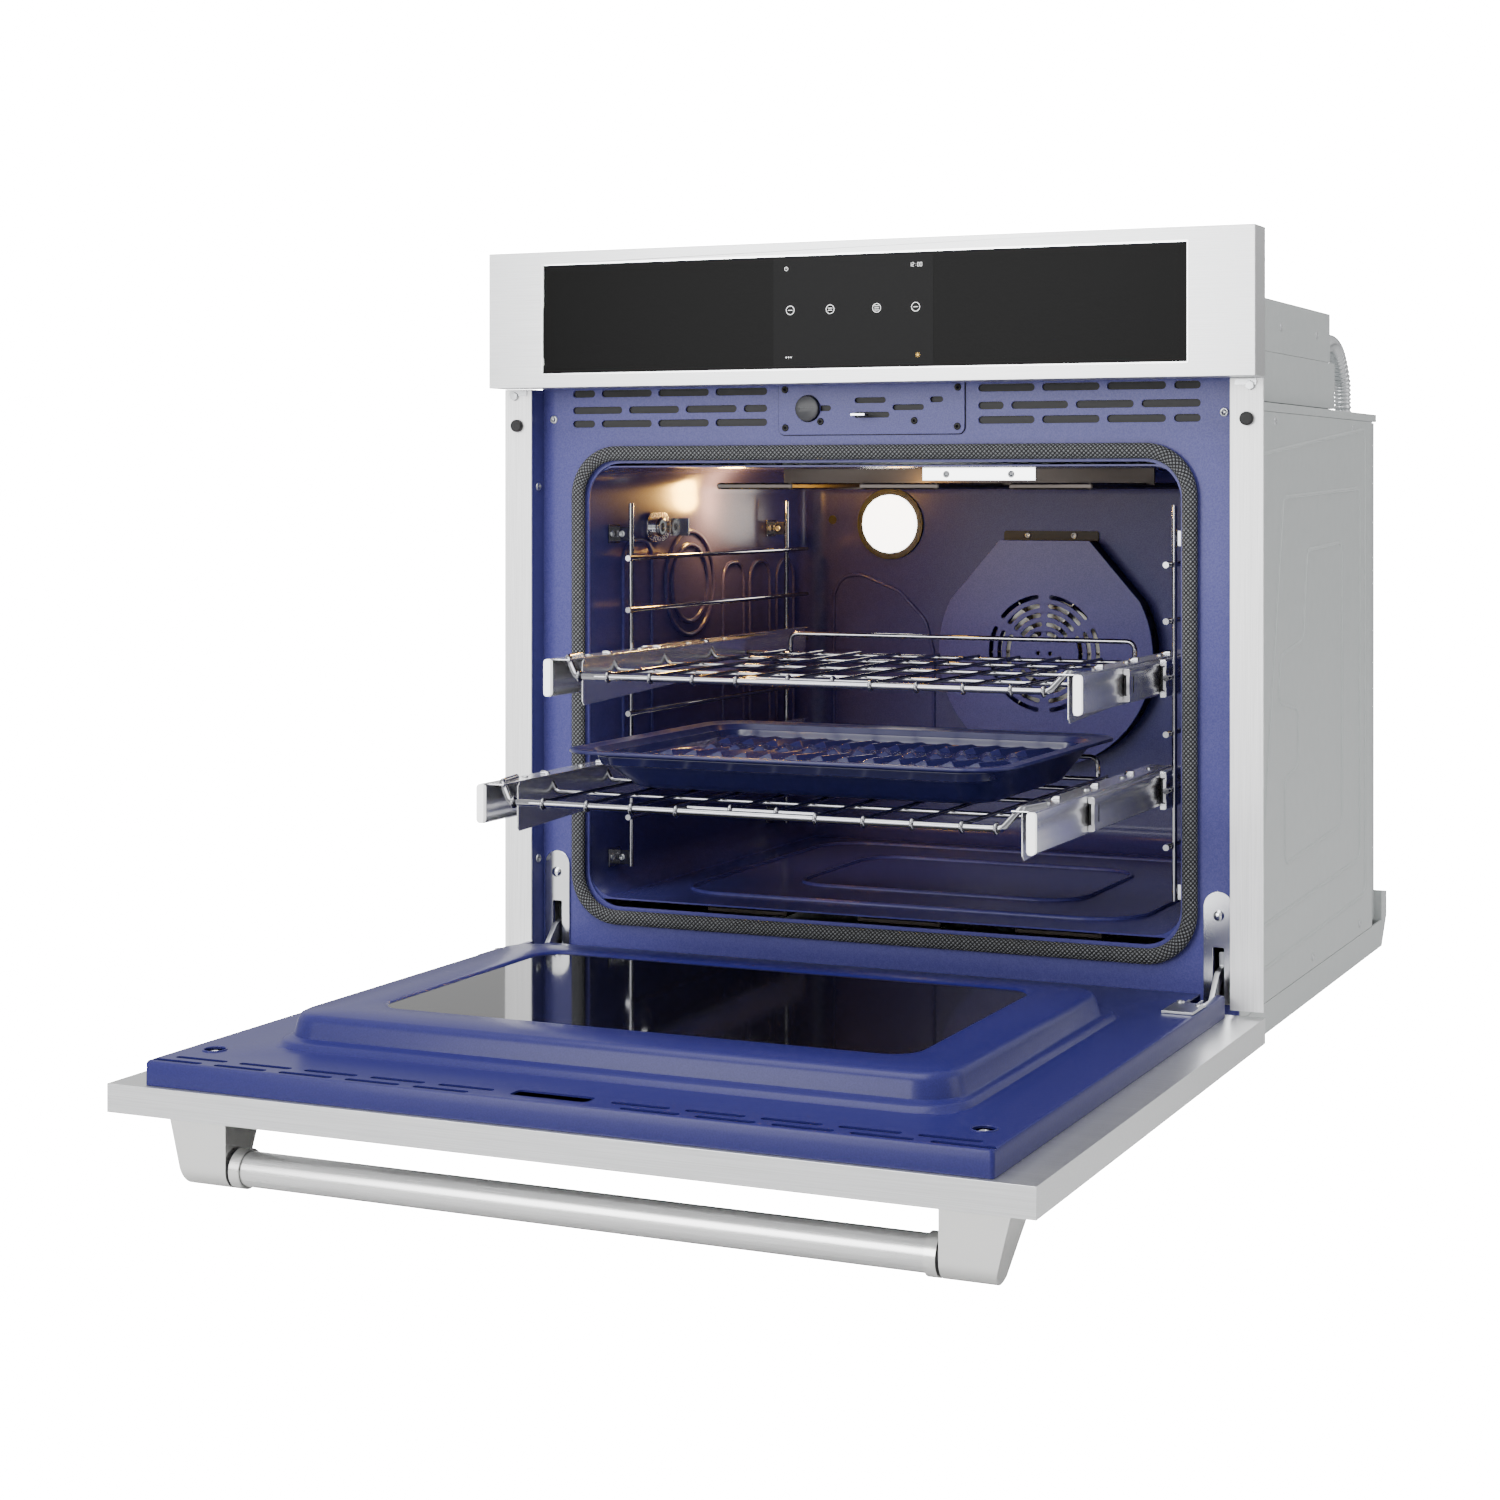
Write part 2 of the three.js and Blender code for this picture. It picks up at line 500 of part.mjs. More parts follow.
function buildFan() {
  const face = deep(CAVITY_BACK - COVER_PROUD);
  const rim = deep(CAVITY_BACK - GAP);
  let cover = prism(coverOutline(0), 'y', face, rim, 8);
  cover = cover.subtract(prism(coverOutline(-SHEET), 'y', face + SHEET, rim + 1, 8));
  for (const radius of SLOT_RINGS) {
    for (let quarter = 0; quarter < 4; quarter++) {
      const margin = 5 / radius;
      const from = quarter * Math.PI / 2 + margin;
      const to = (quarter + 1) * Math.PI / 2 - margin;
      cover = cover.subtract(prism(arcSlot(radius, SLOT_WIDTH, from, to), 'y', face - 1, face + 3, 3));
    }
  }
  add('fan_cover', cover, ENAMEL);

  const ring = new THREE.TorusGeometry(HEATER_RING, HEATER_RADIUS, 5, 24).rotateX(Math.PI / 2);
  const heater = solid(ring.translate(0, deep(HEATER_DEPTH), FAN_HEIGHT));
  const tails = [-8, 8].map((x) => wire([
    [x, deep(HEATER_DEPTH), FAN_HEIGHT - HEATER_RING], [x, deep(CAVITY_BACK - 3),
      FAN_HEIGHT - HEATER_RING]], 3, 6));
  add('convection_element', wasm.Manifold.union([heater, ...tails]), HEATER);

  const blades = [bar([0, deep(CAVITY_BACK - 18), FAN_HEIGHT], [0, deep(CAVITY_BACK - 3), FAN_HEIGHT],
    11, 12)];
  blades.push(bar([0, deep(CAVITY_BACK - 5), FAN_HEIGHT], [0, deep(CAVITY_BACK - 3.5), FAN_HEIGHT], 58,
    24));
  const vane = block(9, FAN_RADIUS + 8, deep(CAVITY_BACK - 18), deep(CAVITY_BACK - 4), -0.8, 0.8);
  for (let i = 0; i < 6; i++) blades.push(vane.rotate([0, i * 60, 0]).translate([0, 0, FAN_HEIGHT]));
  blades.push(bar([0, deep(CAVITY_BACK - 4), FAN_HEIGHT], [0, deep(CAVITY_BACK + 8), FAN_HEIGHT], 4, 10));
  add('fan_blade', wasm.Manifold.union(blades), GALVANISED);

  const can = bar([0, deep(CAVITY_BACK + 12), FAN_HEIGHT], [0, deep(CAVITY_BACK + 54), FAN_HEIGHT], 34, 16);
  add('fan_motor', can, GALVANISED);
}

// ---- Heaters above and below ----
function serpentine(half, near, far, z, runs, radius) {
  const points = [];
  for (let i = 0; i < runs; i++) {
    const x = -half + (2 * half * i) / (runs - 1);
    const ends = [[x, deep(far), z], [x, deep(near), z]];
    points.push(...(i % 2 ? ends.reverse() : ends));
  }
  return wire(points, radius, 6);
}

function buildHeaters() {
  const broil = serpentine(190, 120, 470, CAVITY_ROOF - 18, 6, 3.2);
  const bracket = block(-200, 200, deep(286), deep(290), CAVITY_ROOF - 17, CAVITY_ROOF - GAP);
  add('broil_element', broil.add(bracket), HEATER);
  add('bake_element', serpentine(200, 120, 480, CAVITY_FLOOR - 16, 6, 3.2), HEATER);
}

// ---- Side ladders that carry the racks ----
function buildLadders() {
  for (const [name, side] of SIDES) {
    const bars = [LADDER_FRONT, LADDER_REAR].map((d) => bar([LADDER_X, deep(d), LADDER_FOOT],
      [LADDER_X, deep(d), LADDER_TOP], WIRE, 6));
    for (let i = 0; i < LEVELS; i++) {
      const z = LOWEST_LEVEL + i * LEVEL_PITCH;
      bars.push(bar([LEVEL_X, deep(LADDER_FRONT - 14), z], [LEVEL_X, deep(LADDER_REAR + 45), z], WIRE, 6));
    }
    for (const d of [LADDER_FRONT, LADDER_REAR]) {
      bars.push(block(LADDER_X - 1, cavityHalf - GAP, deep(d + 1), deep(d + 3), LADDER_TOP - 36,
        LADDER_TOP - 24));
      bars.push(block(LADDER_X - 1, cavityHalf - GAP, deep(d + 1), deep(d + 3), LADDER_FOOT + 2,
        LADDER_FOOT + 14));
    }
    add(`rack_ladder_${name}`, mirrorIf(wasm.Manifold.union(bars), side), CHROME);
  }
}

// ---- Glide racks on three-member slides ----
const memberStep = MEMBER + GAP;
const RACKS = [
  { name: 'upper', z: LOWEST_LEVEL + 3 * LEVEL_PITCH, out: UPPER_OUT, midOut: UPPER_MID_OUT },
  { name: 'lower', z: LOWEST_LEVEL + LEVEL_PITCH, out: LOWER_OUT, midOut: LOWER_MID_OUT },
];

// Each end of a rack's front bar rises over its slide: inset from the slide, run back, share of the rise.
const HOOK = [[45, 0, 0], [28, 0, 0], [18, 4, 10 / 16], [10, 14, 1], [4, 40, 1]];
const BAR_WIRE = WIRE + 0.6;

// C-shaped slide member seen from its end, open towards the middle of the oven.
function member(x0, height, front, z) {
  const half = height / 2;
  const body = block(x0, x0 + MEMBER, deep(front), deep(front + RAIL_LENGTH), z - half, z + half);
  const hollow = block(x0 - 1, x0 + MEMBER - 1.6, deep(front - 1), deep(front + RAIL_LENGTH + 1),
    z - half + 1.6, z + half - 1.6);
  return body.subtract(hollow);
}

function buildRack({ name, z, out, midOut }) {
  for (const [side, sign] of SIDES) {
    const midFront = RAIL_STORED + 8 - midOut;
    add(`rail_fixed_${name}_${side}`, mirrorIf(member(RAIL_INNER + 2 * memberStep, RAIL_HEIGHT,
      RAIL_STORED + 14, z - 2), sign), CHROME);
    add(`rail_mid_${name}_${side}`, mirrorIf(member(RAIL_INNER + memberStep, RAIL_HEIGHT - 5, midFront,
      z - 2), sign), CHROME);
  }
  const front = deep(RAIL_STORED - out);
  const back = front + RAIL_LENGTH;
  const railTop = z - 2 + RAIL_HEIGHT / 2;
  const barZ = z;
  const barY = front + 4;
  const parts = [];
  for (const sign of [-1, 1]) {
    const rail = block(RAIL_INNER + MEMBER - 1.6, RAIL_INNER + MEMBER, front, back,
      railTop - RAIL_HEIGHT, railTop);
    const ledge = block(RAIL_INNER - 16, RAIL_INNER + MEMBER, front + 6, back, railTop - 1.6, railTop);
    const skirt = block(RAIL_INNER - 16, RAIL_INNER - 14.4, front + 30, back - 10,
      railTop - RAIL_HEIGHT - 10, railTop);
    parts.push(...[rail, ledge, skirt].map((piece) => mirrorIf(piece, sign)));
    const end = HOOK.map(([inset, y, rise]) => [
      sign * (RAIL_INNER - inset), barY + y, barZ + rise * (railTop + 1 - barZ)]);
    parts.push(wire(end, BAR_WIRE));
  }
  const barHalf = RAIL_INNER - HOOK[0][0] + 1;
  parts.push(wire([[-barHalf, barY, barZ], [barHalf, barY, barZ]], BAR_WIRE));
  parts.push(bar([-62, barY + SET_BACK, barZ + 1], [62, barY + SET_BACK, barZ + 1], WIRE, 6));
  const wireZ = barZ + 2;
  const wirePairs = Math.floor((RAIL_INNER - 30) / RACK_WIRE_PITCH + 0.5);
  for (let i = 1 - wirePairs; i <= wirePairs; i++) {
    const x = (i - 0.5) * RACK_WIRE_PITCH;
    const start = Math.abs(x) < RACK_WIRE_PITCH ? barY + SET_BACK : barY;
    parts.push(bar([x, start, wireZ], [x, back - 2, wireZ], 1.7, 5));
  }
  for (const y of [front + 90, front + 190, front + 290, back - 4]) {
    parts.push(bar([-RAIL_INNER + 15, y, wireZ - 2.6], [RAIL_INNER - 15, y, wireZ - 2.6], 2.2, 5));
  }
  const guardHalf = RAIL_INNER - 65;
  const guard = [[-guardHalf, back - 4, wireZ], [-guardHalf, back - 4, z + 20], [guardHalf, back - 4,
    z + 20],
    [guardHalf, back - 4, wireZ]];
  parts.push(wire(guard, WIRE, 6));
  add(`rack_${name}`, wasm.Manifold.union(parts), CHROME);
}

// ---- Broiler pan and its slotted grid ----
function buildPan() {
  const floor = RACKS[1].z + 2 + 1.7 + GAP;
  const top = floor + PAN_DEPTH;
  const rackBack = deep(RAIL_STORED - LOWER_OUT) + RAIL_LENGTH;
  const middle = rackBack - PAN_BACK_GAP - PAN_LENGTH / 2;
  const slab = (inset, z0, z1, radius) => prism(roundedRect(0, middle, PAN_WIDTH - 2 * inset,
    PAN_LENGTH - 2 * inset, radius), 'z', z0, z1, 2);
  const body = slab(22, floor, top, 20).add(slab(0, top - 2, top, 34));
  add('broiler_pan', body.subtract(slab(24, floor + 2, top + 1, 18)), ENAMEL);

  let grid = slab(26, top - 14, top - 12, 16);
  for (let i = -4; i <= 4; i++) {
    for (let j = -2; j <= 2; j++) {
      const [x, y] = [i * 36, middle + j * 46];
      grid = grid.subtract(block(x - 10, x + 10, y - 2.5, y + 2.5, top - 15, top - 11));
    }
  }
  const leg = PAN_WIDTH / 2 - LEG_INSET;
  for (const x of [-leg, leg]) grid = grid.add(block(x - 6, x + 6, middle - 60, middle + 60,
    floor + 2 + GAP, top - 13));
  add('pan_grid', grid, ENAMEL);
}

// ---- Temperature-probe socket on the left wall, with its flap ----
const PROBE = { depth: 188, z: 453 };
const FLAP_STANDOFF = 13;      // wall to the flap's hinge line

function buildProbe() {
  const wall = -cavityHalf - GAP;
  const y = deep(PROBE.depth);
  const plate = prism(roundedRect(y, PROBE.z, 46, 30, 12), 'x', wall + 2 * GAP, wall + 4, 4);
  const nut = bar([wall + 3, y - 6, PROBE.z], [wall + 12, y - 6, PROBE.z], 9, 12);
  const hole = bar([wall + 4.5, y - 6, PROBE.z], [wall + 14, y - 6, PROBE.z], 4.5, 12);
  const knuckle = block(wall + 3, wall + FLAP_STANDOFF - GAP, y + 8.2, y + 9.8, PROBE.z - 6, PROBE.z + 6);
  add('probe_socket', plate.add(nut).add(knuckle).subtract(hole), CHROME);
  const flap = block(wall + FLAP_STANDOFF, wall + FLAP_STANDOFF + 21, y + 8.2, y + 9.8, PROBE.z - 9,
    PROBE.z + 9);
  add('probe_cover', flap, CHROME);
}

// ---- Door hinges: receiver and arm on the oven, body and pin in the door ----
const RECEIVER_HALF = 13.5;
const RECEIVER_TOP = 127;      // where the round head starts
const NOTCH_WIDTH = 15;
const NOTCH_REACH = 36;        // how far the notch runs in front of the fascia face
const inDoor = (across) => [HINGE_X - across / 2, HINGE_X + across / 2];
const skinFace = SKIN_INNER - SKIN_THICK;

function buildHinges() {
  const [slotLow, slotHigh] = inDoor(ARM_SLOT.width);
  for (const [name, side] of SIDES) {
    const plateShape = new THREE.Shape();
    plateShape.moveTo(HINGE_X + RECEIVER_HALF, STRIP_FOOT);
    plateShape.lineTo(HINGE_X + RECEIVER_HALF, RECEIVER_TOP);
    plateShape.absarc(HINGE_X, RECEIVER_TOP, RECEIVER_HALF, 0, Math.PI);
    plateShape.lineTo(HINGE_X - RECEIVER_HALF, STRIP_FOOT);
    plateShape.closePath();
    let plate = prism(plateShape, 'y', deep(FRAME_FACE - 1.8 - GAP), deep(FRAME_FACE - GAP), 6);
    plate = plate.subtract(block(slotLow, slotHigh, deep(FRAME_FACE - 4), deep(FRAME_FACE + 1),
      STRIP_FOOT + 2, ARM_SLOT.top));
    add(`hinge_receiver_${name}`, mirrorIf(plate, side), CHROME);

    const [armLow, armHigh] = inDoor(ARM_THICK);
    const y = deep(HINGE_DEPTH);
    const eye = bar([armLow, y, HINGE_HEIGHT], [armHigh, y, HINGE_HEIGHT], 7, 12);
    const link = prism(outline([[y - 4, HINGE_HEIGHT + 4], [y + 4, HINGE_HEIGHT - 4], [deep(55), 62],
      [deep(68), 62], [deep(68), 86],
      [deep(60), 86], [deep(60), 74], [deep(45), 70]]), 'x', armLow, armHigh);
    const pinHole = bar([armLow - 1, y, HINGE_HEIGHT], [armHigh + 1, y, HINGE_HEIGHT],
      PIN_RADIUS + PIN_CLEARANCE, 12);
    add(`hinge_arm_${name}`, mirrorIf(eye.add(link).subtract(pinHole), side), CHROME);

    const pieces = [bar([HINGE_X - 6, y, HINGE_HEIGHT], [HINGE_X + 6, y, HINGE_HEIGHT], PIN_RADIUS, 12)];
    for (const cheek of [HINGE_X - 6.5, HINGE_X + 4.7]) {
      const low = skinFace + SHEET + GAP;
      pieces.push(block(cheek, cheek + 1.8, deep(-120), deep(HINGE_DEPTH + 8), low, SKIN_INNER - 2));
      pieces.push(block(cheek, cheek + 1.8, deep(-NOTCH_REACH + 1), deep(-20), low, doorFlat + GAP + 2));
    }
    pieces.push(block(HINGE_X - 6.5, HINGE_X + 6.5, deep(-120), deep(-50), skinFace + SHEET + GAP,
      skinFace + SHEET + GAP + 1.8));
    const saddle = block(HINGE_X - 14, HINGE_X + 13, deep(-NOTCH_REACH - 38), deep(-NOTCH_REACH + 2),
      doorFlat + GAP, doorFlat + GAP + 2);
    pieces.push(saddle);
    add(`hinge_body_${name}`, mirrorIf(wasm.Manifold.union(pieces), side), CHROME);
  }
}

// ---- Door, lying open: steel skin below, enamelled inner panel above ----
const doorFront = DOOR_REAR - DOOR_HEIGHT;
const doorFlat = SKIN_INNER + LINER_THICK + GAP;
const LATCH_DOOR_SLOT = { length: 64, height: 18 };

function notches() {
  const [low, high] = inDoor(NOTCH_WIDTH);
  const cut = block(low, high, deep(-NOTCH_REACH), deep(DOOR_REAR + 1), skinFace + SHEET + 0.1,
    doorFlat + 5);
  return cut.add(cut.mirror([1, 0, 0]));
}

function buildDoor() {
  const half = WIDTH / 2;
  const front = deep(doorFront);
  const windowMiddle = front + WINDOW_START + WINDOW_LENGTH / 2;
  let skin = block(-half, half, front, deep(DOOR_REAR), skinFace, SKIN_INNER);
  skin = skin.subtract(block(-half + SHEET, half - SHEET, front + SHEET, deep(DOOR_REAR) - SHEET,
    skinFace + SHEET, SKIN_INNER - SHEET));
  skin = skin.subtract(block(-LINER_WIDTH / 2 + 8, LINER_WIDTH / 2 - 8, front + 14, deep(10),
    SKIN_INNER - 3, SKIN_INNER + 1));
  const outer = (grow) => roundedRect(0, windowMiddle, OUTER_WINDOW_WIDTH + grow,
    OUTER_WINDOW_LENGTH + grow, 12);
  skin = skin.subtract(prism(outer(2 * GAP), 'z', skinFace - 1, skinFace + 3));
  const open = block(...inDoor(NOTCH_WIDTH), deep(-NOTCH_REACH), deep(DOOR_REAR - SHEET - 1),
    SKIN_INNER - 3, SKIN_INNER + 1);
  skin = skin.subtract(open).subtract(open.mirror([1, 0, 0]));
  add('door_skin', skin, BRUSHED);
  add('door_outer_glass', prism(outer(0), 'z', skinFace + 0.2, skinFace + 4), BLACK_GLASS);

  const rear = deep(20);
  const panelFront = front + 5.1;
  const plate = (z0, z1) => block(-LINER_WIDTH / 2, LINER_WIDTH / 2, panelFront, rear, z0, z1);
  const top = doorFlat + PLUG_HEIGHT;
  const boss = (start, width, length, grow, z0, z1, radius) => prism(
    roundedRect(0, front + start + length / 2, width + grow, length + grow, radius + grow / 2), 'z',
      z0, z1, 2);
  const plug = (grow, z0, z1) => boss(PLUG_START, PLUG_WIDTH, PLUG_LENGTH, grow, z0, z1, 30);
  const step = (grow, z0, z1) => boss(STEP_START, STEP_WIDTH, STEP_LENGTH, grow, z0, z1, 34);
  let panel = plate(SKIN_INNER + GAP, doorFlat);
  panel = panel.subtract(block(-LINER_WIDTH / 2 + SHEET, LINER_WIDTH / 2 - SHEET, panelFront + SHEET,
    rear - SHEET, SKIN_INNER - 2, doorFlat - SHEET));
  panel = panel.add(step(0, doorFlat - 1, doorFlat + STEP_HEIGHT)).add(plug(0, doorFlat, top));
  panel = panel.subtract(step(-2 * SHEET, doorFlat - 3, doorFlat + STEP_HEIGHT - SHEET));
  panel = panel.subtract(plug(-2 * SHEET, doorFlat - 2, top - SHEET));
  const pane = (grow) => roundedRect(0, windowMiddle, WINDOW_WIDTH + grow, WINDOW_LENGTH + grow,
    WINDOW_RADIUS + grow / 2);
  panel = panel.subtract(prism(pane(0), 'z', doorFlat, top + 1, 2));
  panel = panel.subtract(notches());
  const latchY = deep(HINGE_DEPTH - (LATCH_SLOT.z - HINGE_HEIGHT));
  panel = panel.subtract(prism(slot(0, latchY, LATCH_DOOR_SLOT.length, LATCH_DOOR_SLOT.height), 'z',
    doorFlat - 4, doorFlat + 2, 1));
  for (const side of [-1, 1]) {
    for (let i = 0; i < 4; i++) {
      const x = side * (70 + i * 60);
      panel = panel.subtract(prism(slot(x, latchY, 46, 6), 'z', doorFlat - 4, doorFlat + 2, 1));
    }
  }
  add('door_inner_panel', panel, ENAMEL);
  add('door_inner_glass', prism(pane(16), 'z', top - SHEET - GAP - 4, top - SHEET - GAP, 4), DARK_GLASS);

  const barY = front + BAR_FROM_EDGE;
  const barZ = skinFace - BAR_STANDOFF;
  const barHalf = POST_X - POST_WIDTH / 2 - 8;
  add('handle_bar', bar([-barHalf, barY, barZ], [barHalf, barY, barZ], BAR_RADIUS, 20), POLISHED);
  for (const [name, side] of SIDES) {
    const reach = BAR_RADIUS + 2;
    const profile = new THREE.Shape();
    profile.moveTo(barY - reach, skinFace - GAP);
    profile.lineTo(barY - reach, barZ);
    profile.absarc(barY, barZ, reach, Math.PI, Math.PI * 1.75);
    profile.lineTo(barY + reach + 15, skinFace - GAP - 14);
    profile.lineTo(barY + reach + 18, skinFace - GAP);
    profile.closePath();
    const outerFace = POST_X + POST_WIDTH / 2;
    const blank = prism(profile, 'x', POST_X - POST_WIDTH / 2, outerFace, 5);
    const taper = prism(outline([[outerFace, skinFace], [outerFace + 5, barZ - 20], [outerFace - 16,
      barZ - 20]]), 'y', barY - 30, barY + 50);
    const collar = bar([POST_X - POST_WIDTH / 2 - 12, barY, barZ], [POST_X, barY, barZ], reach, 20);
    const bore = bar([POST_X - POST_WIDTH / 2 - 14, barY, barZ], [barHalf + GAP, barY, barZ],
      BAR_RADIUS + GAP, 20);
    add(`handle_post_${name}`, mirrorIf(blank.subtract(taper).add(collar).subtract(bore), side), POLISHED);
  }
}

// ---- Cooling blower in the lower housing ----
const BLOWER = { depth: 340, radius: 62, height: 30 };

function buildBlower() {
  const z0 = LOWER_BOX.z0 + SHEET + 4;
  const y = deep(BLOWER.depth);
  const drum = bar([0, y, z0], [0, y, z0 + BLOWER.height], BLOWER.radius, 24);
  const bore = bar([0, y, z0 + 2], [0, y, z0 + BLOWER.height + 1], BLOWER.radius - 8, 24);
  const hub = bar([0, y, z0], [0, y, z0 + BLOWER.height + 3], 9, 12);
  add('blower_wheel', drum.subtract(bore).add(hub), GALVANISED);
}

buildCabinet();
buildControls();
buildLead();
buildFront();
buildLock();
buildCavity();
buildFan();
buildHeaters();
buildLadders();
RACKS.forEach(buildRack);
buildPan();
buildProbe();
buildHinges();
buildDoor();
buildBlower();

export default oven;
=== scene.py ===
"""A built-in wall oven with its door open and its glide racks drawn out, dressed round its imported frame."""
import math

import bpy
from mathutils import Matrix, Vector


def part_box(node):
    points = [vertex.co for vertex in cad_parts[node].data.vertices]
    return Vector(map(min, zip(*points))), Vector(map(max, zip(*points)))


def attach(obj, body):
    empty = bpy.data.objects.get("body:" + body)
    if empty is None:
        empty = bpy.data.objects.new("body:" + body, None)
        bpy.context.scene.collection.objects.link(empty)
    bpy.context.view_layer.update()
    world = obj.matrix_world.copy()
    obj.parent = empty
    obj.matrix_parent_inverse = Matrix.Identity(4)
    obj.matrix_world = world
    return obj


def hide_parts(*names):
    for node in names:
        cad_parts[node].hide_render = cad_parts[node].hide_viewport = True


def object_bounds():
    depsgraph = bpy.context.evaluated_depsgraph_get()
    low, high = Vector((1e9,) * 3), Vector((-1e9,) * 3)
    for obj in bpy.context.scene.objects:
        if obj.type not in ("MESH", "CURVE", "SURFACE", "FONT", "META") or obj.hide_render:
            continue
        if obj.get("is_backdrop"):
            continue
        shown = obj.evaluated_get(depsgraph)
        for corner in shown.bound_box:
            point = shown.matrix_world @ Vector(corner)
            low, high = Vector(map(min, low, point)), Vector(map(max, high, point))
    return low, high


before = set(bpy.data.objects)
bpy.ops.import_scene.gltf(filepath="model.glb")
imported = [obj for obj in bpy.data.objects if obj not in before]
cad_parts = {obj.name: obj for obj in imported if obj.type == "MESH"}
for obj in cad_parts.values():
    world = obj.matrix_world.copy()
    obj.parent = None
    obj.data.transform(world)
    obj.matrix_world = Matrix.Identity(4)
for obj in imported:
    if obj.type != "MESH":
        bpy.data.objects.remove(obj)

cad_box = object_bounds()
MM = 0.001


# ---- Camera, light and floor ----
# The camera stands level, in front and to the right, and looks a little to the left.
# The studio is a pale room with a large soft box above and one in front.
def colour(code):
    """An sRGB hex colour as linear red, green, blue and alpha."""
    parts = [int(code[i:i + 2], 16) / 255 for i in (1, 3, 5)]
    return [p / 12.92 if p <= 0.04045 else ((p + 0.055) / 1.055) ** 2.4 for p in parts] + [1]


def add_node(tree, kind, sockets=None, **settings):
    """A shader node with its settings, its socket values, and links from other sockets."""
    new = tree.nodes.new(kind)
    for name, value in settings.items():
        setattr(new, name, value)
    for name, value in (sockets or {}).items():
        if isinstance(value, bpy.types.NodeSocket):
            tree.links.new(value, new.inputs[name])
        else:
            new.inputs[name].default_value = value
    return new


def start_material(name, code, roughness, metallic=0.0, shader=None):
    """A material and its shader, with values set on the shader's own sockets."""
    material = bpy.data.materials.new(name)
    material.use_nodes = True
    surface = material.node_tree.nodes["Principled BSDF"]
    values = {"Base Color": colour(code), "Roughness": roughness, "Metallic": metallic, **(shader or {})}
    for socket, value in values.items():
        surface.inputs[socket].default_value = value
    return material, material.node_tree, surface


VIEW_TURN = math.radians(22.8)
fascia_low, fascia_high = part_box("fascia")
camera_at = (0.950, fascia_low[1] - 2.139, fascia_high[2] - 0.222)
bpy.ops.object.camera_add(location=camera_at, rotation=(math.pi / 2, 0, VIEW_TURN))
camera = bpy.context.object
camera.name = "camera"
camera.data.lens = 62.05
camera.data.shift_x = -0.1
camera.data.shift_y = -0.1766
camera.data.clip_end = 50
bpy.context.scene.camera = camera

world = bpy.context.scene.world or bpy.data.worlds.new("studio")
bpy.context.scene.world = world
world.use_nodes = True
sky = world.node_tree
room = sky.nodes["Background"]
room.inputs["Strength"].default_value = 1.0
height = add_node(sky, "ShaderNodeSeparateXYZ",
                  {"Vector": add_node(sky, "ShaderNodeTexCoord").outputs["Generated"]})
level = add_node(sky, "ShaderNodeMapRange",
                 {"Value": height.outputs["Z"], "From Min": -1.0, "From Max": 1.0})
walls = add_node(sky, "ShaderNodeValToRGB", {"Fac": level.outputs["Result"]})
for place, code in ((0.42, "#6c6c6c"), (0.5, "#8c8c8c"), (0.56, "#e4e4e4"), (0.75, "#ffffff")):
    stop = walls.color_ramp.elements.new(place)
    stop.color = colour(code)
walls.color_ramp.elements[0].color = colour("#5c5c5c")
sky.links.new(walls.outputs["Color"], room.inputs["Color"])
backdrop = add_node(sky, "ShaderNodeBackground", {"Color": colour("#ffffff"), "Strength": 22.0})
seen = add_node(sky, "ShaderNodeLightPath").outputs["Is Camera Ray"]
both = add_node(sky, "ShaderNodeMixShader", {0: seen, 1: room.outputs[0], 2: backdrop.outputs[0]})
sky.links.new(both.outputs[0], sky.nodes["World Output"].inputs["Surface"])

SOFT_BOXES = [
    ("top_box", (-0.4, -1.4, 2.6), (0.45, 0, 0.2), 2.2, 80),
    ("front_box", (-1.2, -3.6, 1.1), (1.3, 0, -0.32), 1.8, 85),
    ("side_box", (2.9, 0.2, 1.2), (1.2, 0, 1.57), 1.6, 16),
]
for name, at, turn, size, power in SOFT_BOXES:
    bpy.ops.object.light_add(type="AREA", location=at, rotation=turn)
    lamp = bpy.context.object
    lamp.name = name
    lamp.data.size = size
    lamp.data.energy = power

FLOOR_GAP = 0.03
bpy.ops.mesh.primitive_plane_add(size=14, location=(0, 0, cad_box[0][2] - FLOOR_GAP))
floor = bpy.context.object
floor.name = "floor"
bpy.ops.object.transform_apply(location=True, rotation=True, scale=True)
floor_paint, tree, surface = start_material("pale matt floor", "#dcdcdc", 0.9)
bright = add_node(tree, "ShaderNodeEmission", {"Color": colour("#ffffff"), "Strength": 22.0})
seen = add_node(tree, "ShaderNodeLightPath").outputs["Is Camera Ray"]
both = add_node(tree, "ShaderNodeMixShader", {0: seen, 1: surface.outputs[0], 2: bright.outputs[0]})
tree.links.new(both.outputs[0], tree.nodes["Material Output"].inputs["Surface"])
floor.data.materials.append(floor_paint)
floor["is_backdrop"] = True


# ---- Cabinet: base pan, lid, back cover and control housings ----
# Folded galvanised sheet with a pale grey coat: satin, with a faint crystal mottle that only
# shows as slow changes of shade. The folds have a small radius.
def alone(piece):
    """Selects one piece and makes it active, in object mode."""
    bpy.ops.object.select_all(action="DESELECT")
    piece.select_set(True)
    bpy.context.view_layer.objects.active = piece


def settle(piece):
    """Applies a piece's place, turn and size to its mesh."""
    alone(piece)
    bpy.ops.object.transform_apply(location=True, rotation=True, scale=True)


def smooth(piece, angle):
    """Smooth shading, broken only at edges sharper than the angle in degrees."""
    alone(piece)
    bpy.ops.object.shade_smooth_by_angle(angle=math.radians(angle))


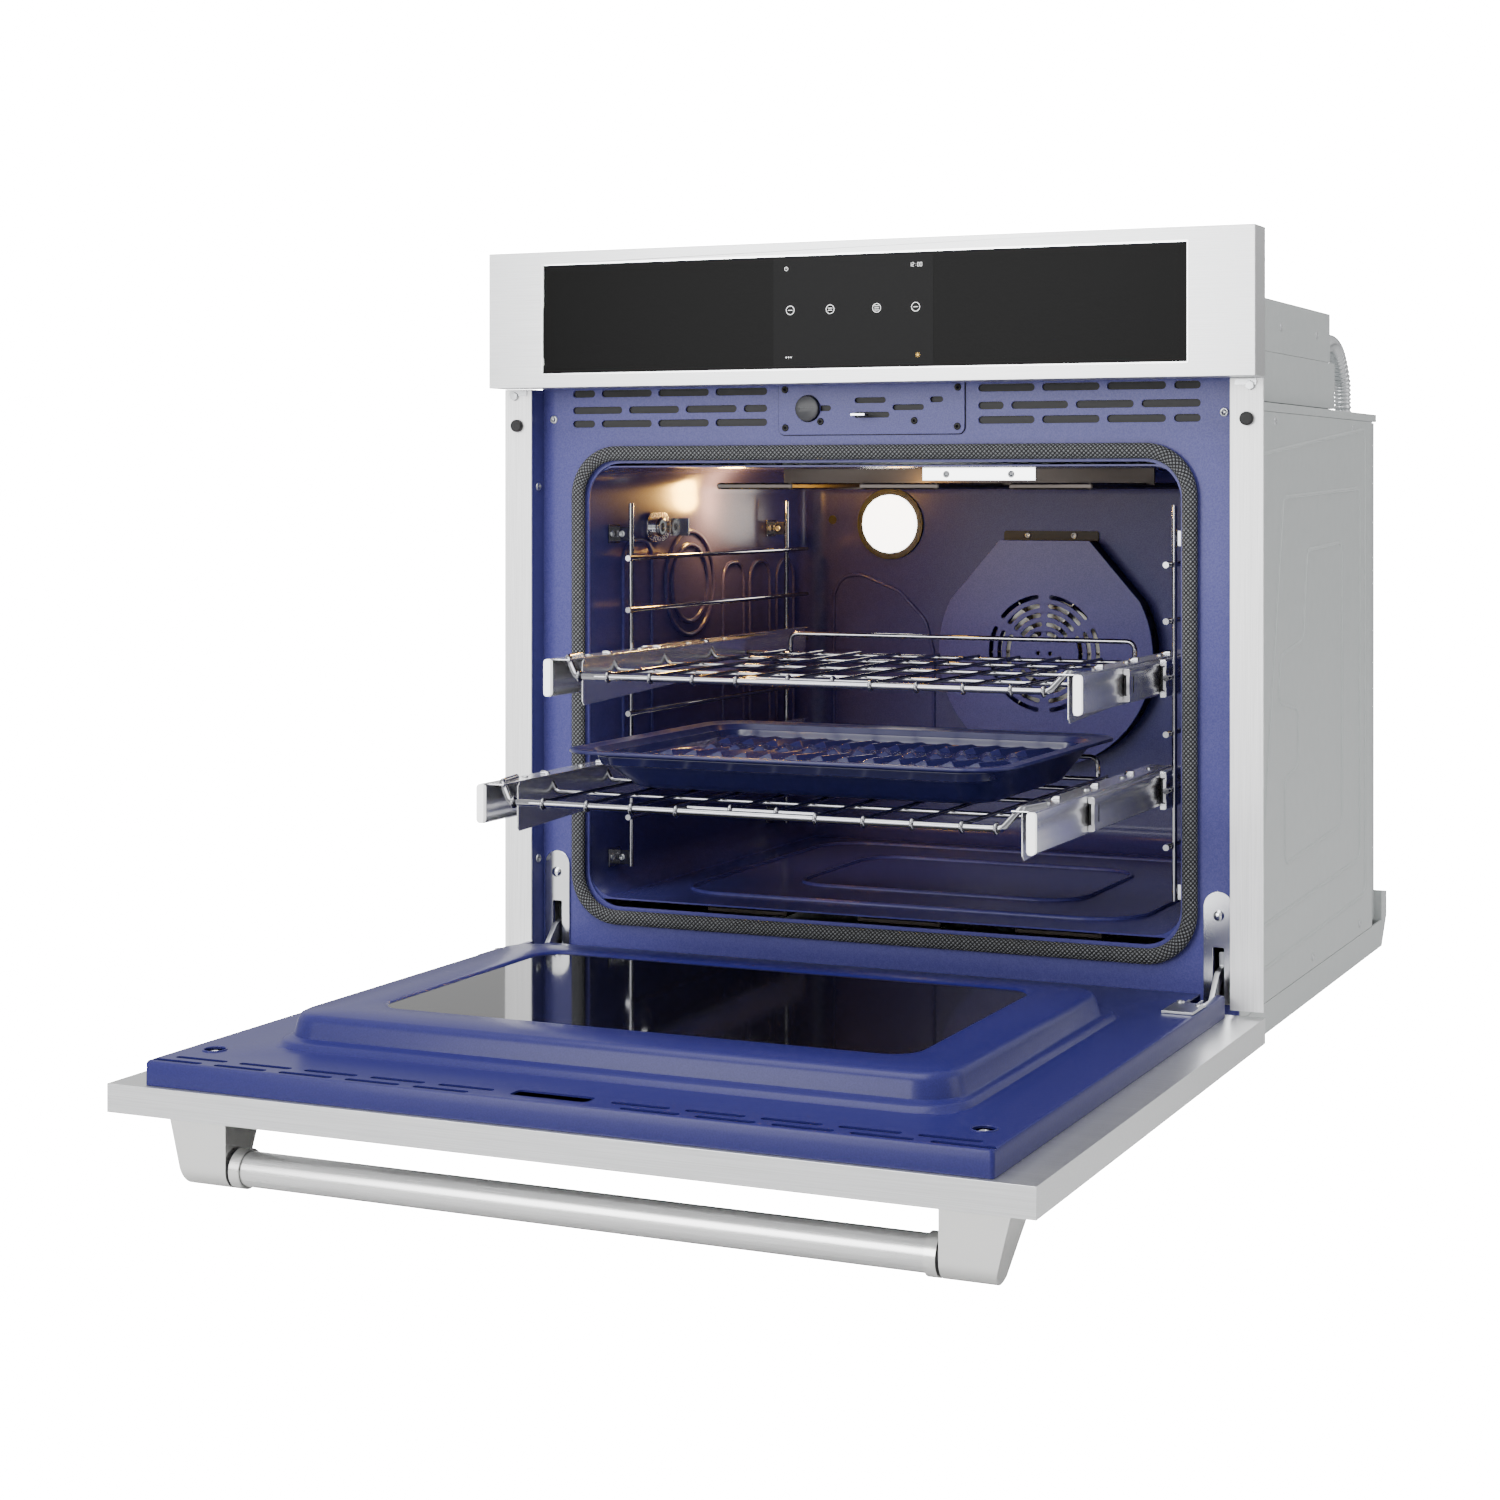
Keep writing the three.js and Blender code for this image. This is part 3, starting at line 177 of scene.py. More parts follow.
def edit_all(piece, *steps):
    """Runs mesh operators, each with its settings, on the whole of a piece."""
    alone(piece)
    bpy.ops.object.mode_set(mode="EDIT")
    bpy.ops.mesh.select_all(action="SELECT")
    for step, settings in steps:
        step(**settings)
    bpy.ops.object.mode_set(mode="OBJECT")


def apply(piece, kind, **settings):
    """Adds a modifier and applies it."""
    alone(piece)
    modifier = piece.modifiers.new(kind.lower(), kind)
    for name, value in settings.items():
        setattr(modifier, name, value)
    bpy.ops.object.modifier_apply(modifier=modifier.name)


def round_edges(piece, width, segments=2, angle=35):
    """A small radius on every sharp edge, and smooth shading between them."""
    apply(piece, "BEVEL", width=width, segments=segments, limit_method="ANGLE",
          angle_limit=math.radians(angle), use_clamp_overlap=True, miter_outer="MITER_ARC",
          harden_normals=False)
    smooth(piece, angle)
    apply(piece, "WEIGHTED_NORMAL", keep_sharp=True)


MERGE = (bpy.ops.mesh.remove_doubles, {"threshold": 1e-6})
OUTWARD = (bpy.ops.mesh.normals_make_consistent, {"inside": False})


def softened(node, width):
    """A copy of a CAD node as one clean skin, with its edges rounded."""
    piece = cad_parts[node].copy()
    piece.data = piece.data.copy()
    bpy.context.collection.objects.link(piece)
    piece.parent = None
    piece.matrix_world = Matrix()
    for key in list(piece.keys()):
        del piece[key]
    edit_all(piece, MERGE, (bpy.ops.mesh.dissolve_limited, {"angle_limit": math.radians(0.5)}))
    round_edges(piece, width)
    return piece


def fit(piece, name, material, slot, body, *nodes):
    """Names a finished piece, paints it, and ties it to its body and to the nodes it stands for."""
    piece.name = name
    piece.data.name = name
    piece.data.materials.clear()
    piece.data.materials.append(material)
    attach(piece, body)
    if nodes:
        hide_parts(*nodes)
    return piece


def dress(node, width, name, material, slot, body="oven"):
    """A CAD node with rounded edges as a finished piece that stands for that node."""
    fit(softened(node, width), name, material, slot, body, node)


def object_place(tree, scale=(1, 1, 1)):
    """Object coordinates in metres, stretched by `scale`."""
    place = add_node(tree, "ShaderNodeTexCoord").outputs["Object"]
    return add_node(tree, "ShaderNodeMapping", {"Vector": place, "Scale": scale}).outputs["Vector"]


def shades(tree, surface, value, dark, light, spread=(0.0, 1.0)):
    """Runs the base colour from dark to light as a texture's value grows over the spread."""
    ramp = add_node(tree, "ShaderNodeValToRGB", {"Fac": value})
    for stop, place, tone in zip(ramp.color_ramp.elements, spread, (dark, light)):
        stop.position = place
        stop.color = tone
    tree.links.new(ramp.outputs["Color"], surface.inputs["Base Color"])


SPANGLE = 0.012                 # size of a zinc crystal's patch
galvanised, tree, surface = start_material("galvanised steel, grey coat", "#b9bdbd", 0.46, 0.25)
patches = add_node(tree, "ShaderNodeTexNoise",
                   {"Vector": object_place(tree), "Scale": 1 / SPANGLE, "Detail": 3.0})
shade = add_node(tree, "ShaderNodeMapRange",
                 {"Value": patches.outputs["Fac"], "To Min": 0.42, "To Max": 0.52})
tree.links.new(shade.outputs["Result"], surface.inputs["Roughness"])
shades(tree, surface, patches.outputs["Fac"], colour("#b3b8b8"), colour("#bfc2c2"))

FOLD = 0.7 * MM
for node in ("base_pan", "top_cover", "back_cover", "control_housing_upper", "control_housing_lower"):
    dress(node, FOLD, node + "_sheet", galvanised, "galvanised_steel")


# ---- Side panels ----
# Sheet with stiffening beads pressed into it: one round the edge and a stepped one inside it.
# The beads are low half-round ridges that catch the light along one side.
def meshed(name, curve):
    """A curve turned into a mesh piece."""
    piece = bpy.data.objects.new(name, curve)
    bpy.context.collection.objects.link(piece)
    alone(piece)
    bpy.ops.object.convert(target="MESH")
    return bpy.context.object


def wire(name, points, radius, bend=0.0, sides=8, closed=False, steps=4):
    """A round wire through the points, its corners bent to the radius `bend`, as a mesh."""
    path = []
    count = len(points)
    for i, point in enumerate(points):
        point = Vector(point)
        ends = not closed and i in (0, count - 1)
        if ends or not bend:
            path.append(point)
            continue
        before = Vector(points[i - 1]) - point
        after = Vector(points[(i + 1) % count]) - point
        half = before.angle(after) / 2
        reach = min(bend / math.tan(half), before.length * 0.49, after.length * 0.49)
        start, end = point + before.normalized() * reach, point + after.normalized() * reach
        for k in range(steps + 1):
            t = k / steps
            path.append(start * (1 - t) ** 2 + point * 2 * t * (1 - t) + end * t ** 2)
    curve = bpy.data.curves.new(name, "CURVE")
    curve.dimensions = "3D"
    curve.bevel_depth = radius
    curve.bevel_resolution = max(0, sides // 2 - 2)
    curve.use_fill_caps = not closed
    spline = curve.splines.new("POLY")
    spline.points.add(len(path) - 1)
    spline.use_cyclic_u = closed
    for target, point in zip(spline.points, path):
        target.co = (*point, 1)
    piece = meshed(name, curve)
    smooth(piece, 50)
    return piece


def joined(pieces):
    """Several pieces as one, the first of them."""
    alone(pieces[0])
    for piece in pieces:
        piece.select_set(True)
    bpy.ops.object.join()
    return pieces[0]


def copies(piece, places):
    """One object made of copies of a small piece, each set by a matrix."""
    made = []
    for place in places:
        copy = piece.copy()
        copy.data = piece.data.copy()
        copy.matrix_world = place
        bpy.context.collection.objects.link(copy)
        made.append(copy)
    bpy.data.objects.remove(piece)
    whole = joined(made)
    settle(whole)
    return whole


def facing(at, direction):
    """A matrix that stands a piece made along +Z at a point, pointing along a direction."""
    turn = Vector(direction).to_track_quat("Z", "Y").to_matrix().to_4x4()
    return Matrix.Translation(Vector(at)) @ turn


def cut(piece, tool):
    """Takes one solid out of another and removes the tool."""
    apply(piece, "BOOLEAN", object=tool, operation="DIFFERENCE", solver="EXACT")
    bpy.data.objects.remove(tool)


def screw(radius, height):
    """A domed screw head with a cross recess, its seat at the origin."""
    bpy.ops.mesh.primitive_cylinder_add(vertices=20, radius=radius, depth=height,
                                        location=(0, 0, height / 2))
    head = bpy.context.object
    round_edges(head, height * 0.45, 3, 60)
    for turn in (0, math.pi / 2):
        bpy.ops.mesh.primitive_cube_add(size=1, location=(0, 0, height), rotation=(0, 0, turn))
        tool = bpy.context.object
        tool.scale = (radius * 1.25, radius * 0.28, height * 0.9)
        cut(head, tool)
    smooth(head, 40)
    return head


def block(name, low, high):
    """A box between two corners."""
    bpy.ops.mesh.primitive_cube_add(size=1)
    piece = bpy.context.object
    piece.name = name
    piece.scale = [h - l for l, h in zip(low, high)]
    piece.location = [(l + h) / 2 for l, h in zip(low, high)]
    settle(piece)
    return piece


screw_steel = start_material("zinc-plated screw steel", "#c4c6c8", 0.28, 1.0)[0]


def screws(name, radius, height, places, body="oven"):
    """Cross-recess screws at the given places, as one piece."""
    fit(copies(screw(radius, height), places), name, screw_steel, "polished_steel", body)


SIDES = (("left", -1), ("right", 1))
BEAD = 2.2 * MM
for side, sign in SIDES:
    low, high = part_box("side_panel_" + side)
    face = sign * max(abs(low[0]), abs(high[0]))
    front, rear, foot, top = low[1], high[1], low[2], high[2]
    outline = [(front + 30 * MM, foot + 30 * MM), (rear - 35 * MM, foot + 40 * MM),
               (rear - 35 * MM, top - 8 * MM), (front + 30 * MM, top - 42 * MM)]
    inner = [(front + 60 * MM, foot + 70 * MM), (rear - 60 * MM, foot + 80 * MM),
             (rear - 60 * MM, top - 70 * MM), (front + 150 * MM, top - 78 * MM)]
    stepped = [(0.155, 0.115), (0.385, 0.125), (0.385, 0.41), (0.24, 0.405), (0.225, 0.32), (0.14, 0.31),
               (0.13, 0.268), (0.205, 0.256), (0.205, 0.20), (0.155, 0.195)]
    step_line = [(front + y, foot + z) for y, z in stepped]
    beads = [wire("bead", [(face - sign * 0.8 * MM, y, z) for y, z in line], BEAD, 14 * MM, 8, True)
             for line in (outline, inner, step_line)]
    skin = softened("side_panel_" + side, FOLD)
    low_x, high_x = sorted((face, face - sign * 9 * MM))
    fold = block("fold", (low_x, rear - 1.5 * MM, foot), (high_x, rear, top))
    fit(joined([skin, fold] + beads), "side_sheet_" + side, galvanised, "galvanised_steel", "oven",
        "side_panel_" + side)
    places = [(front + 20 * MM, foot + 12 * MM), ((front + rear) / 2, foot + 12 * MM),
              (rear - 60 * MM, foot + 12 * MM), (front + 120 * MM, top - 8 * MM),
              (rear - 90 * MM, top - 8 * MM)]
    screws("side_screws_" + side, 4 * MM, 2.2 * MM, [facing((face, y, z), (sign, 0, 0)) for y, z in places])


# ---- Details of the back cover and the control housings ----
# The cover has two pressed rectangles, a terminal plate low on one side, and evenly spaced screws
# along its edges. The lid and the upper housing carry small screws too.
back_low, back_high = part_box("back_cover")
rear = back_high[1]
pressed = []
for inset in (45 * MM, 80 * MM):
    corners = [(back_low[0] + inset, back_low[2] + inset + 60 * MM),
               (back_high[0] - inset, back_low[2] + inset + 60 * MM),
               (back_high[0] - inset, back_high[2] - inset), (back_low[0] + inset, back_high[2] - inset)]
    pressed.append(wire("bead", [(x, rear - 0.8 * MM, z) for x, z in corners], BEAD, 18 * MM, 8, True))
fit(joined(pressed), "back_beads", galvanised, "galvanised_steel", "oven")
TERMINAL_Z = back_low[2] + 85 * MM
terminal = block("terminal", (-290 * MM, rear - 0.2 * MM, TERMINAL_Z - 31 * MM),
                 (-170 * MM, rear + 2.2 * MM, TERMINAL_Z + 31 * MM))
round_edges(terminal, 0.6 * MM, 2, 40)
fit(terminal, "terminal_plate", galvanised, "galvanised_steel", "oven")
columns = [back_low[0] + 14 * MM + k * (back_high[0] - back_low[0] - 28 * MM) / 5 for k in range(6)]
places = [facing((x, rear, z), (0, 1, 0)) for x in columns
          for z in (back_low[2] + 50 * MM, back_high[2] - 14 * MM)]
places += [facing((x * MM, rear + 2.2 * MM, TERMINAL_Z), (0, 1, 0)) for x in (-280, -180)]
lid_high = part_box("top_cover")[1]
upper_low, upper_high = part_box("control_housing_upper")
places += [facing((x, lid_high[1] - 25 * MM, lid_high[2]), (0, 0, 1)) for x in columns[:-1]]
places += [facing((x, upper_high[1] - 14 * MM, upper_high[2]), (0, 0, 1)) for x in columns[1:-1]]
for sign in (-1, 1):
    for y in (60, 200, 340):
        at = (sign * upper_high[0], upper_low[1] + y * MM, upper_high[2] - 24 * MM)
        places.append(facing(at, (sign, 0, 0)))
screws("cover_screws", 4 * MM, 2.2 * MM, places)


# ---- Conduit from the upper housing into the lid ----
# Flexible corrugated steel conduit, a strip wound into ridges. It is held by the upper housing at
# one end and by the lid at the other, so its route is fixed.
conduit_low, conduit_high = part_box("conduit")
LEAD_RADIUS = 9.5 * MM
lead_x = (conduit_low[0] + conduit_high[0]) / 2
lead_start = upper_high[1] + 0.3 * MM
lead_down = conduit_high[1] - LEAD_RADIUS
lead_exit = 637 * MM
lid_top = lid_high[2]
route = [(lead_start, lead_exit), (lead_start + 0.025, lead_exit), (lead_start + 0.062, lead_exit + 0.004),
         (lead_start + 0.092, lead_exit - 0.007), (lead_down - 0.004, lead_exit - 0.033),
         (lead_down, lid_top + 0.008), (lead_down, lid_top - 0.004)]
RIDGE = 3.4 * MM


def smooth_path(points, spacing):
    """Points every `spacing` along a Catmull-Rom curve through the given points."""
    ends = [2 * points[0] - points[1]] + points + [2 * points[-1] - points[-2]]
    fine = []
    for a, b, c, d in zip(ends, ends[1:], ends[2:], ends[3:]):
        for k in range(24):
            t = k / 24
            fine.append(0.5 * (2 * b + (c - a) * t + (2 * a - 5 * b + 4 * c - d) * t ** 2
                               + (3 * b - a - 3 * c + d) * t ** 3))
    fine.append(points[-1])
    spaced, travelled = [fine[0]], 0.0
    for a, b in zip(fine, fine[1:]):
        travelled += (b - a).length
        if travelled >= spacing:
            spaced.append(b)
            travelled = 0.0
    return spaced


path = smooth_path([Vector((lead_x, y, z)) for y, z in route], RIDGE / 4)
curve = bpy.data.curves.new("conduit", "CURVE")
curve.dimensions = "3D"
curve.bevel_depth = LEAD_RADIUS
curve.bevel_resolution = 6
curve.use_fill_caps = True
spline = curve.splines.new("POLY")
spline.points.add(len(path) - 1)
for i, (target, point) in enumerate(zip(spline.points, path)):
    target.co = (*point, 1)
    target.radius = 0.91 + 0.09 * math.cos(i * math.pi / 2)
hose = meshed("hose", curve)
bpy.ops.object.shade_smooth()
fit(hose, "conduit_hose", screw_steel, "galvanised_steel", "oven", "conduit")


# ---- Control fascia ----
# Brushed stainless steel with fine level marks, a folded edge, and a thin bright chamfer round the glass.
# The marks are short streaks that shift the shade and the gloss a little.
def brushed(name, code, along, roughness=(0.26, 0.4)):
    """Stainless steel with fine brush marks along one axis (0, 1 or 2)."""
    material, tree, surface = start_material(name, code, roughness[0], 0.9)
    scale = [1300.0, 1300.0, 1300.0]
    scale[along] = 14.0
    marks = add_node(tree, "ShaderNodeTexNoise",
                     {"Vector": object_place(tree, scale), "Scale": 1.0, "Detail": 3.0})
    gloss = add_node(tree, "ShaderNodeMapRange",
                     {"Value": marks.outputs["Fac"], "To Min": roughness[0], "To Max": roughness[1]})
    tree.links.new(gloss.outputs["Result"], surface.inputs["Roughness"])
    red, green, blue, _ = colour(code)
    dark = (red * 0.8, green * 0.8, blue * 0.8, 1)
    shades(tree, surface, marks.outputs["Fac"], dark, (red, green, blue, 1), (0.25, 0.75))
    return material


def sheet(name, loops, plane, low, high):
    """A plate cut from closed outlines, the first of them its edge, in the plane "xz", "yz" or "xy"."""
    curve = bpy.data.curves.new(name, "CURVE")
    curve.dimensions = "2D"
    curve.fill_mode = "BOTH"
    curve.extrude = (high - low) / 2
    for loop in loops:
        spline = curve.splines.new("POLY")
        spline.points.add(len(loop) - 1)
        spline.use_cyclic_u = True
        for target, (u, v) in zip(spline.points, loop):
            target.co = (u, v, 0, 1)
    piece = meshed(name, curve)
    middle = (low + high) / 2
    columns = {"xz": [(1, 0, 0), (0, 0, 1), (0, -1, 0)], "yz": [(0, 1, 0), (0, 0, 1), (1, 0, 0)],
               "xy": [(1, 0, 0), (0, 1, 0), (0, 0, 1)]}[plane]
    shift = {"xz": (0, middle, 0), "yz": (middle, 0, 0), "xy": (0, 0, middle)}[plane]
    turn = Matrix(columns).transposed().to_4x4()
    piece.matrix_world = Matrix.Translation(shift) @ turn
    settle(piece)
    edit_all(piece, MERGE, OUTWARD)
    smooth(piece, 35)
    return piece


def rounded(u, v, width, height, radius, steps=6):
    """A rectangle with round corners about a point."""
    points = []
    corners = ((1, 1, 0), (-1, 1, 1), (-1, -1, 2), (1, -1, 3))
    for side_u, side_v, quarter in corners:
        for k in range(steps + 1):
            turn = math.pi / 2 * (quarter + k / steps)
            points.append((u + side_u * (width / 2 - radius) + radius * math.cos(turn),
                           v + side_v * (height / 2 - radius) + radius * math.sin(turn)))
    return points


def disc(u, v, radius, steps=32):
    """A circle about a point."""
    return [(u + radius * math.cos(k * math.tau / steps), v + radius * math.sin(k * math.tau / steps))
            for k in range(steps)]


FRONT = fascia_low[1]
steel_level = brushed("stainless steel, brushed across", "#dedfe0", 0)
dress("fascia", 0.9 * MM, "fascia_sheet", steel_level, "brushed_steel")

glass_low, glass_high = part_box("control_glass")
glass_middle = (glass_low[2] + glass_high[2]) / 2
glass_size = (glass_high[0] - glass_low[0], glass_high[2] - glass_low[2])
CHAMFER = 1.5 * MM
bright_steel = start_material("bright rolled steel", "#e4e5e6", 0.16, 1.0)[0]
outline = rounded(0, glass_middle, glass_size[0] + 2 * CHAMFER, glass_size[1] + 2 * CHAMFER, 1.6 * MM)
hollow = rounded(0, glass_middle, glass_size[0] + 0.3 * MM, glass_size[1] + 0.3 * MM, 0.6 * MM)
ring = sheet("chamfer", [outline, hollow], "xz", FRONT - 0.5 * MM, FRONT + 0.4 * MM)
fit(ring, "glass_chamfer", bright_steel, "polished_steel", "oven")


# ---- Control glass and its display ----
# Near-black glass with a soft reflection. A slightly lighter screen lies over its middle, with a
# clock, four round mode signs and small marks, all drawn as thin pale shapes.
def glowing(name, code, roughness, light, strength):
    """A plain material that also gives off a little light."""
    return start_material(name, code, roughness, 0.0,
                          {"Emission Color": colour(light), "Emission Strength": strength})[0]


black_glass = start_material("black control glass", "#080808", 0.3, 0.0, {"Specular IOR Level": 0.06})[0]
dress("control_glass", 0.4 * MM, "glass_panel", black_glass, "black_glass")

screen_paint = start_material("unlit screen", "#0b0b0c", 0.3, 0.0, {"Specular IOR Level": 0.07})[0]
mark_paint = glowing("lit screen marks", "#e8e8e8", 0.5, "#f2f2f2", 1.2)
amber_paint = glowing("lit amber mark", "#c9a24a", 0.5, "#d8ad4e", 1.0)

SCREEN = (158 * MM, 99 * MM)
glass_face = glass_low[1]
screen_x = 4 * MM
panel = sheet("screen", [rounded(screen_x, glass_middle, SCREEN[0], SCREEN[1], 1 * MM)], "xz",
              glass_face - 0.16 * MM, glass_face - 0.06 * MM)
fit(panel, "screen", screen_paint, "black_glass", "oven")

SEGMENTS = {"0": "abcdef", "1": "bc", "2": "abged", ":": ":"}


def digit(sign, u, v, height):
    """The bars of a seven-bar digit, or the two dots of a clock, as rectangles."""
    width, bar = height * 0.5, height * 0.1
    bars = {"a": (0, height / 2, width, bar), "g": (0, 0, width, bar), "d": (0, -height / 2, width, bar),
            "b": (width / 2, height / 4, bar, height / 2), "c": (width / 2, -height / 4, bar, height / 2),
            "f": (-width / 2, height / 4, bar, height / 2), "e": (-width / 2, -height / 4, bar, height / 2)}
    if sign == ":":
        return [rounded(u, v + side * height / 4, bar, bar, bar * 0.3, 2) for side in (1, -1)]
    return [rounded(u + bars[name][0], v + bars[name][1], bars[name][2], bars[name][3], bar * 0.4, 2)
            for name in SEGMENTS[sign]]


def marks(name, loops, paint):
    """Thin shapes on the face of the screen, one plate for each outline or pair of outlines."""
    pieces = [sheet(name, loop, "xz", glass_face - 0.24 * MM, glass_face - 0.17 * MM) for loop in loops]
    fit(joined(pieces), name, paint, "black_glass", "oven")


clock_x, clock_z = screen_x + 62 * MM, glass_middle + 40 * MM
clock = []
for k, sign in enumerate("12:00"):
    clock += [[bar] for bar in digit(sign, clock_x + (k - 2) * 2.6 * MM, clock_z, 3.4 * MM)]
modes = []
for k, u in enumerate((-62, -22, 24, 62)):
    centre = (screen_x + u * MM, glass_middle + 2 * MM)
    modes.append([disc(*centre, 4.2 * MM), disc(*centre, 3.7 * MM)])
    for level in range(k % 3 + 1):
        height = centre[1] + (level - (k % 3) / 2) * 1.9 * MM
        modes.append([rounded(centre[0], height, 4.4 * MM, 0.5 * MM, 0.2 * MM, 2)])
corner_u, corner_v = screen_x - 66 * MM, glass_middle + 40 * MM
timer = [[disc(corner_u, corner_v, 1.9 * MM), disc(corner_u, corner_v, 1.5 * MM)],
         [rounded(corner_u, corner_v + 0.6 * MM, 0.35 * MM, 1.3 * MM, 0.1 * MM, 2)]]
dots = [[disc(corner_u + k * 2.4 * MM, glass_middle - 41 * MM, 0.65 * MM)] for k in range(3)]
marks("screen_marks", clock + modes + timer + dots, mark_paint)
light = (screen_x + 64 * MM, glass_middle - 41 * MM)
rays = [[disc(*light, 1.2 * MM)]]
for k in range(8):
    turn = k * math.pi / 4
    u, v = light[0] + 2.1 * MM * math.cos(turn), light[1] + 2.1 * MM * math.sin(turn)
    rays.append([disc(u, v, 0.3 * MM, 8)])
marks("lamp_mark", rays, amber_paint)


# ---- Control board behind the glass ----
# Green lacquered board with a row of black chips on its rear face. It is seen only from behind,
# above the control housings.
board_paint, tree, surface = start_material("green solder lacquer", "#1f6a3c", 0.35)
tracks = add_node(tree, "ShaderNodeTexWave",
                  {"Vector": object_place(tree, (1, 1, 1)), "Scale": 60.0, "Distortion": 6.0})
shades(tree, surface, tracks.outputs["Fac"], colour("#1a5a33"), colour("#2c7d4a"))
dress("control_board", 0.2 * MM, "board", board_paint, "circuit_board")
black_plastic = start_material("black moulded plastic", "#141415", 0.42)[0]
board_low, board_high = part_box("control_board")
chips = []
for k in range(7):
    x = board_low[0] + (0.12 + 0.125 * k) * (board_high[0] - board_low[0])
    z = (board_low[2] + board_high[2]) / 2 + (-1) ** k * 9 * MM
    half_w, half_h = (4.5 + 1.5 * (k % 3)) * MM, (4 + k % 2) * MM
    chips.append(block("chip", (x - half_w, board_high[1] - 0.1 * MM, z - half_h),
                       (x + half_w, board_high[1] + 2.3 * MM, z + half_h)))
fit(joined(chips), "board_chips", black_plastic, "black_plastic", "oven")


# ---- Trim strips ----
# Upright steel strips with fine upright brush marks. Near the top each carries a black rubber stop
# and, above it, a small tab with a hexagonal screw.
steel_upright = brushed("stainless steel, brushed upright", "#ffffff", 2, (0.45, 0.55))
rubber = start_material("black rubber", "#0c0c0d", 0.6)[0]
STOP_X, STOP_Z = 363 * MM, fascia_high[2] - 164.6 * MM
TAB_Z = fascia_high[2] - 133 * MM
for side, sign in SIDES:
    strip_low, strip_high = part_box("trim_strip_" + side)
    dress("trim_strip_" + side, 0.5 * MM, "strip_" + side, steel_upright, "brushed_steel")
    strip_face = strip_low[1]
    bpy.ops.mesh.primitive_cylinder_add(vertices=40, radius=6 * MM, depth=4.6 * MM)
    stop = bpy.context.object
    round_edges(stop, 1.2 * MM, 3, 40)
    stop = copies(stop, [facing((sign * STOP_X, strip_face - 2.2 * MM, STOP_Z), (0, -1, 0))])
    fit(stop, "door_stop_" + side, rubber, "black_plastic", "oven")
    bpy.ops.mesh.primitive_cylinder_add(vertices=6, radius=4.2 * MM, depth=3 * MM)
    bolt = bpy.context.object
    round_edges(bolt, 0.4 * MM, 2, 40)
    bolt = copies(bolt, [facing((sign * 366 * MM, strip_face - 1.6 * MM, TAB_Z - 3 * MM), (0, -1, 0))])
    tab = sheet("tab", [rounded(sign * 362 * MM, TAB_Z, 19 * MM, 5 * MM, 1 * MM)], "xz",
                strip_face - 1.4 * MM, strip_face - 0.1 * MM)
    fit(joined([bolt, tab]), "strip_tab_" + side, screw_steel, "polished_steel", "oven")


# ---- Enamelled front frame ----
# Blue porcelain enamel: a deep glossy coat with a fine speckle, thick enough to round every edge.
# Three rows of long rounded vents run each side of the lock plate.
def enamel(name, code, dark, roughness=0.3):
    """Porcelain enamel with a fine speckle and a slight waviness."""
    material, tree, surface = start_material(name, code, roughness, 0.0,
                                             {"Specular IOR Level": 0.22, "Coat Weight": 0.05,
                                              "Coat Roughness": 0.1})
    specks = add_node(tree, "ShaderNodeTexNoise",
                      {"Vector": object_place(tree), "Scale": 900.0, "Detail": 2.0})
    shades(tree, surface, specks.outputs["Fac"], colour(dark), colour(code), (0.35, 0.65))
    waves = add_node(tree, "ShaderNodeTexNoise",
                     {"Vector": object_place(tree), "Scale": 260.0, "Detail": 1.0})
    bump = add_node(tree, "ShaderNodeBump",
                    {"Height": waves.outputs["Fac"], "Strength": 0.06, "Distance": 0.0006})
    tree.links.new(bump.outputs["Normal"], surface.inputs["Normal"])
    return material


blue_enamel = enamel("blue porcelain enamel", "#4e4d8a", "#434280")
gasket_low, gasket_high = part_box("gasket")
frame_low, frame_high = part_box("front_frame")
face = gasket_high[1] + 0.3 * MM
frame_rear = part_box("cavity_roof")[0][1] - 0.3 * MM
MOUTH = (594 * MM, 427 * MM)
mouth_z = (gasket_low[2] + gasket_high[2]) / 2
mouth_loop = rounded(0, mouth_z, *MOUTH, 34 * MM, 10)
lock_low, lock_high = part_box("lock_plate")
VENT_ROWS = [fascia_high[2] + z * MM for z in (-133.8, -149.8, -162.9)]
VENTS_LONG = ((106.2, 160.5), (167.6, 221.9), (228.7, 283.4), (290.7, 315.0))
VENTS_OFFSET = ((106.2, 130.8), (138.1, 192.3), (199.4, 253.6), (260.9, 315.0))
# Near-black for the dark socket screws, the lamp's seal ring and the lock's joint line. The same paint is
# also painted shade on sheets, discs and strips set where the oven shows only shadow.
dark_and_shade_paint = start_material("dark steel and painted shade black", "#121215", 0.5, 0.3)[0]
button_low, button_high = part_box("door_switch_button")
button = ((button_low[0] + button_high[0]) / 2, (button_low[2] + button_high[2]) / 2)
button_radius = (button_high[0] - button_low[0]) / 2
lock_size = (lock_high[0] - lock_low[0], lock_high[2] - lock_low[2])
vents = []
for row, z in enumerate(VENT_ROWS):
    for start, end in VENTS_OFFSET if row == 1 else VENTS_LONG:
        for sign in (-1, 1):
            middle = sign * (start + end) / 2 * MM
            vents.append(rounded(middle, z, (end - start) * MM, 7 * MM, 3.49 * MM, 5))
frame_half = frame_high[0]
frame_top, frame_foot = 612 * MM, frame_low[2]
ARM_X, ARM_SLOT = 331.5 * MM, (44 * MM, 91.5 * MM)
cuts = [rounded(sign * ARM_X, sum(ARM_SLOT) / 2, 10 * MM, ARM_SLOT[1] - ARM_SLOT[0], 1 * MM, 2)
        for sign in (-1, 1)]
lock_middle = (lock_low[2] + lock_high[2]) / 2
seat = rounded(0, lock_middle + 1 * MM, lock_size[0] - 16 * MM, lock_size[1] - 10 * MM, 1 * MM, 2)
outline = rounded(0, (frame_top + frame_foot) / 2, 2 * frame_half, frame_top - frame_foot, 1 * MM)
plate = sheet("frame", [outline, mouth_loop, seat] + cuts + vents, "xz", face, frame_rear)
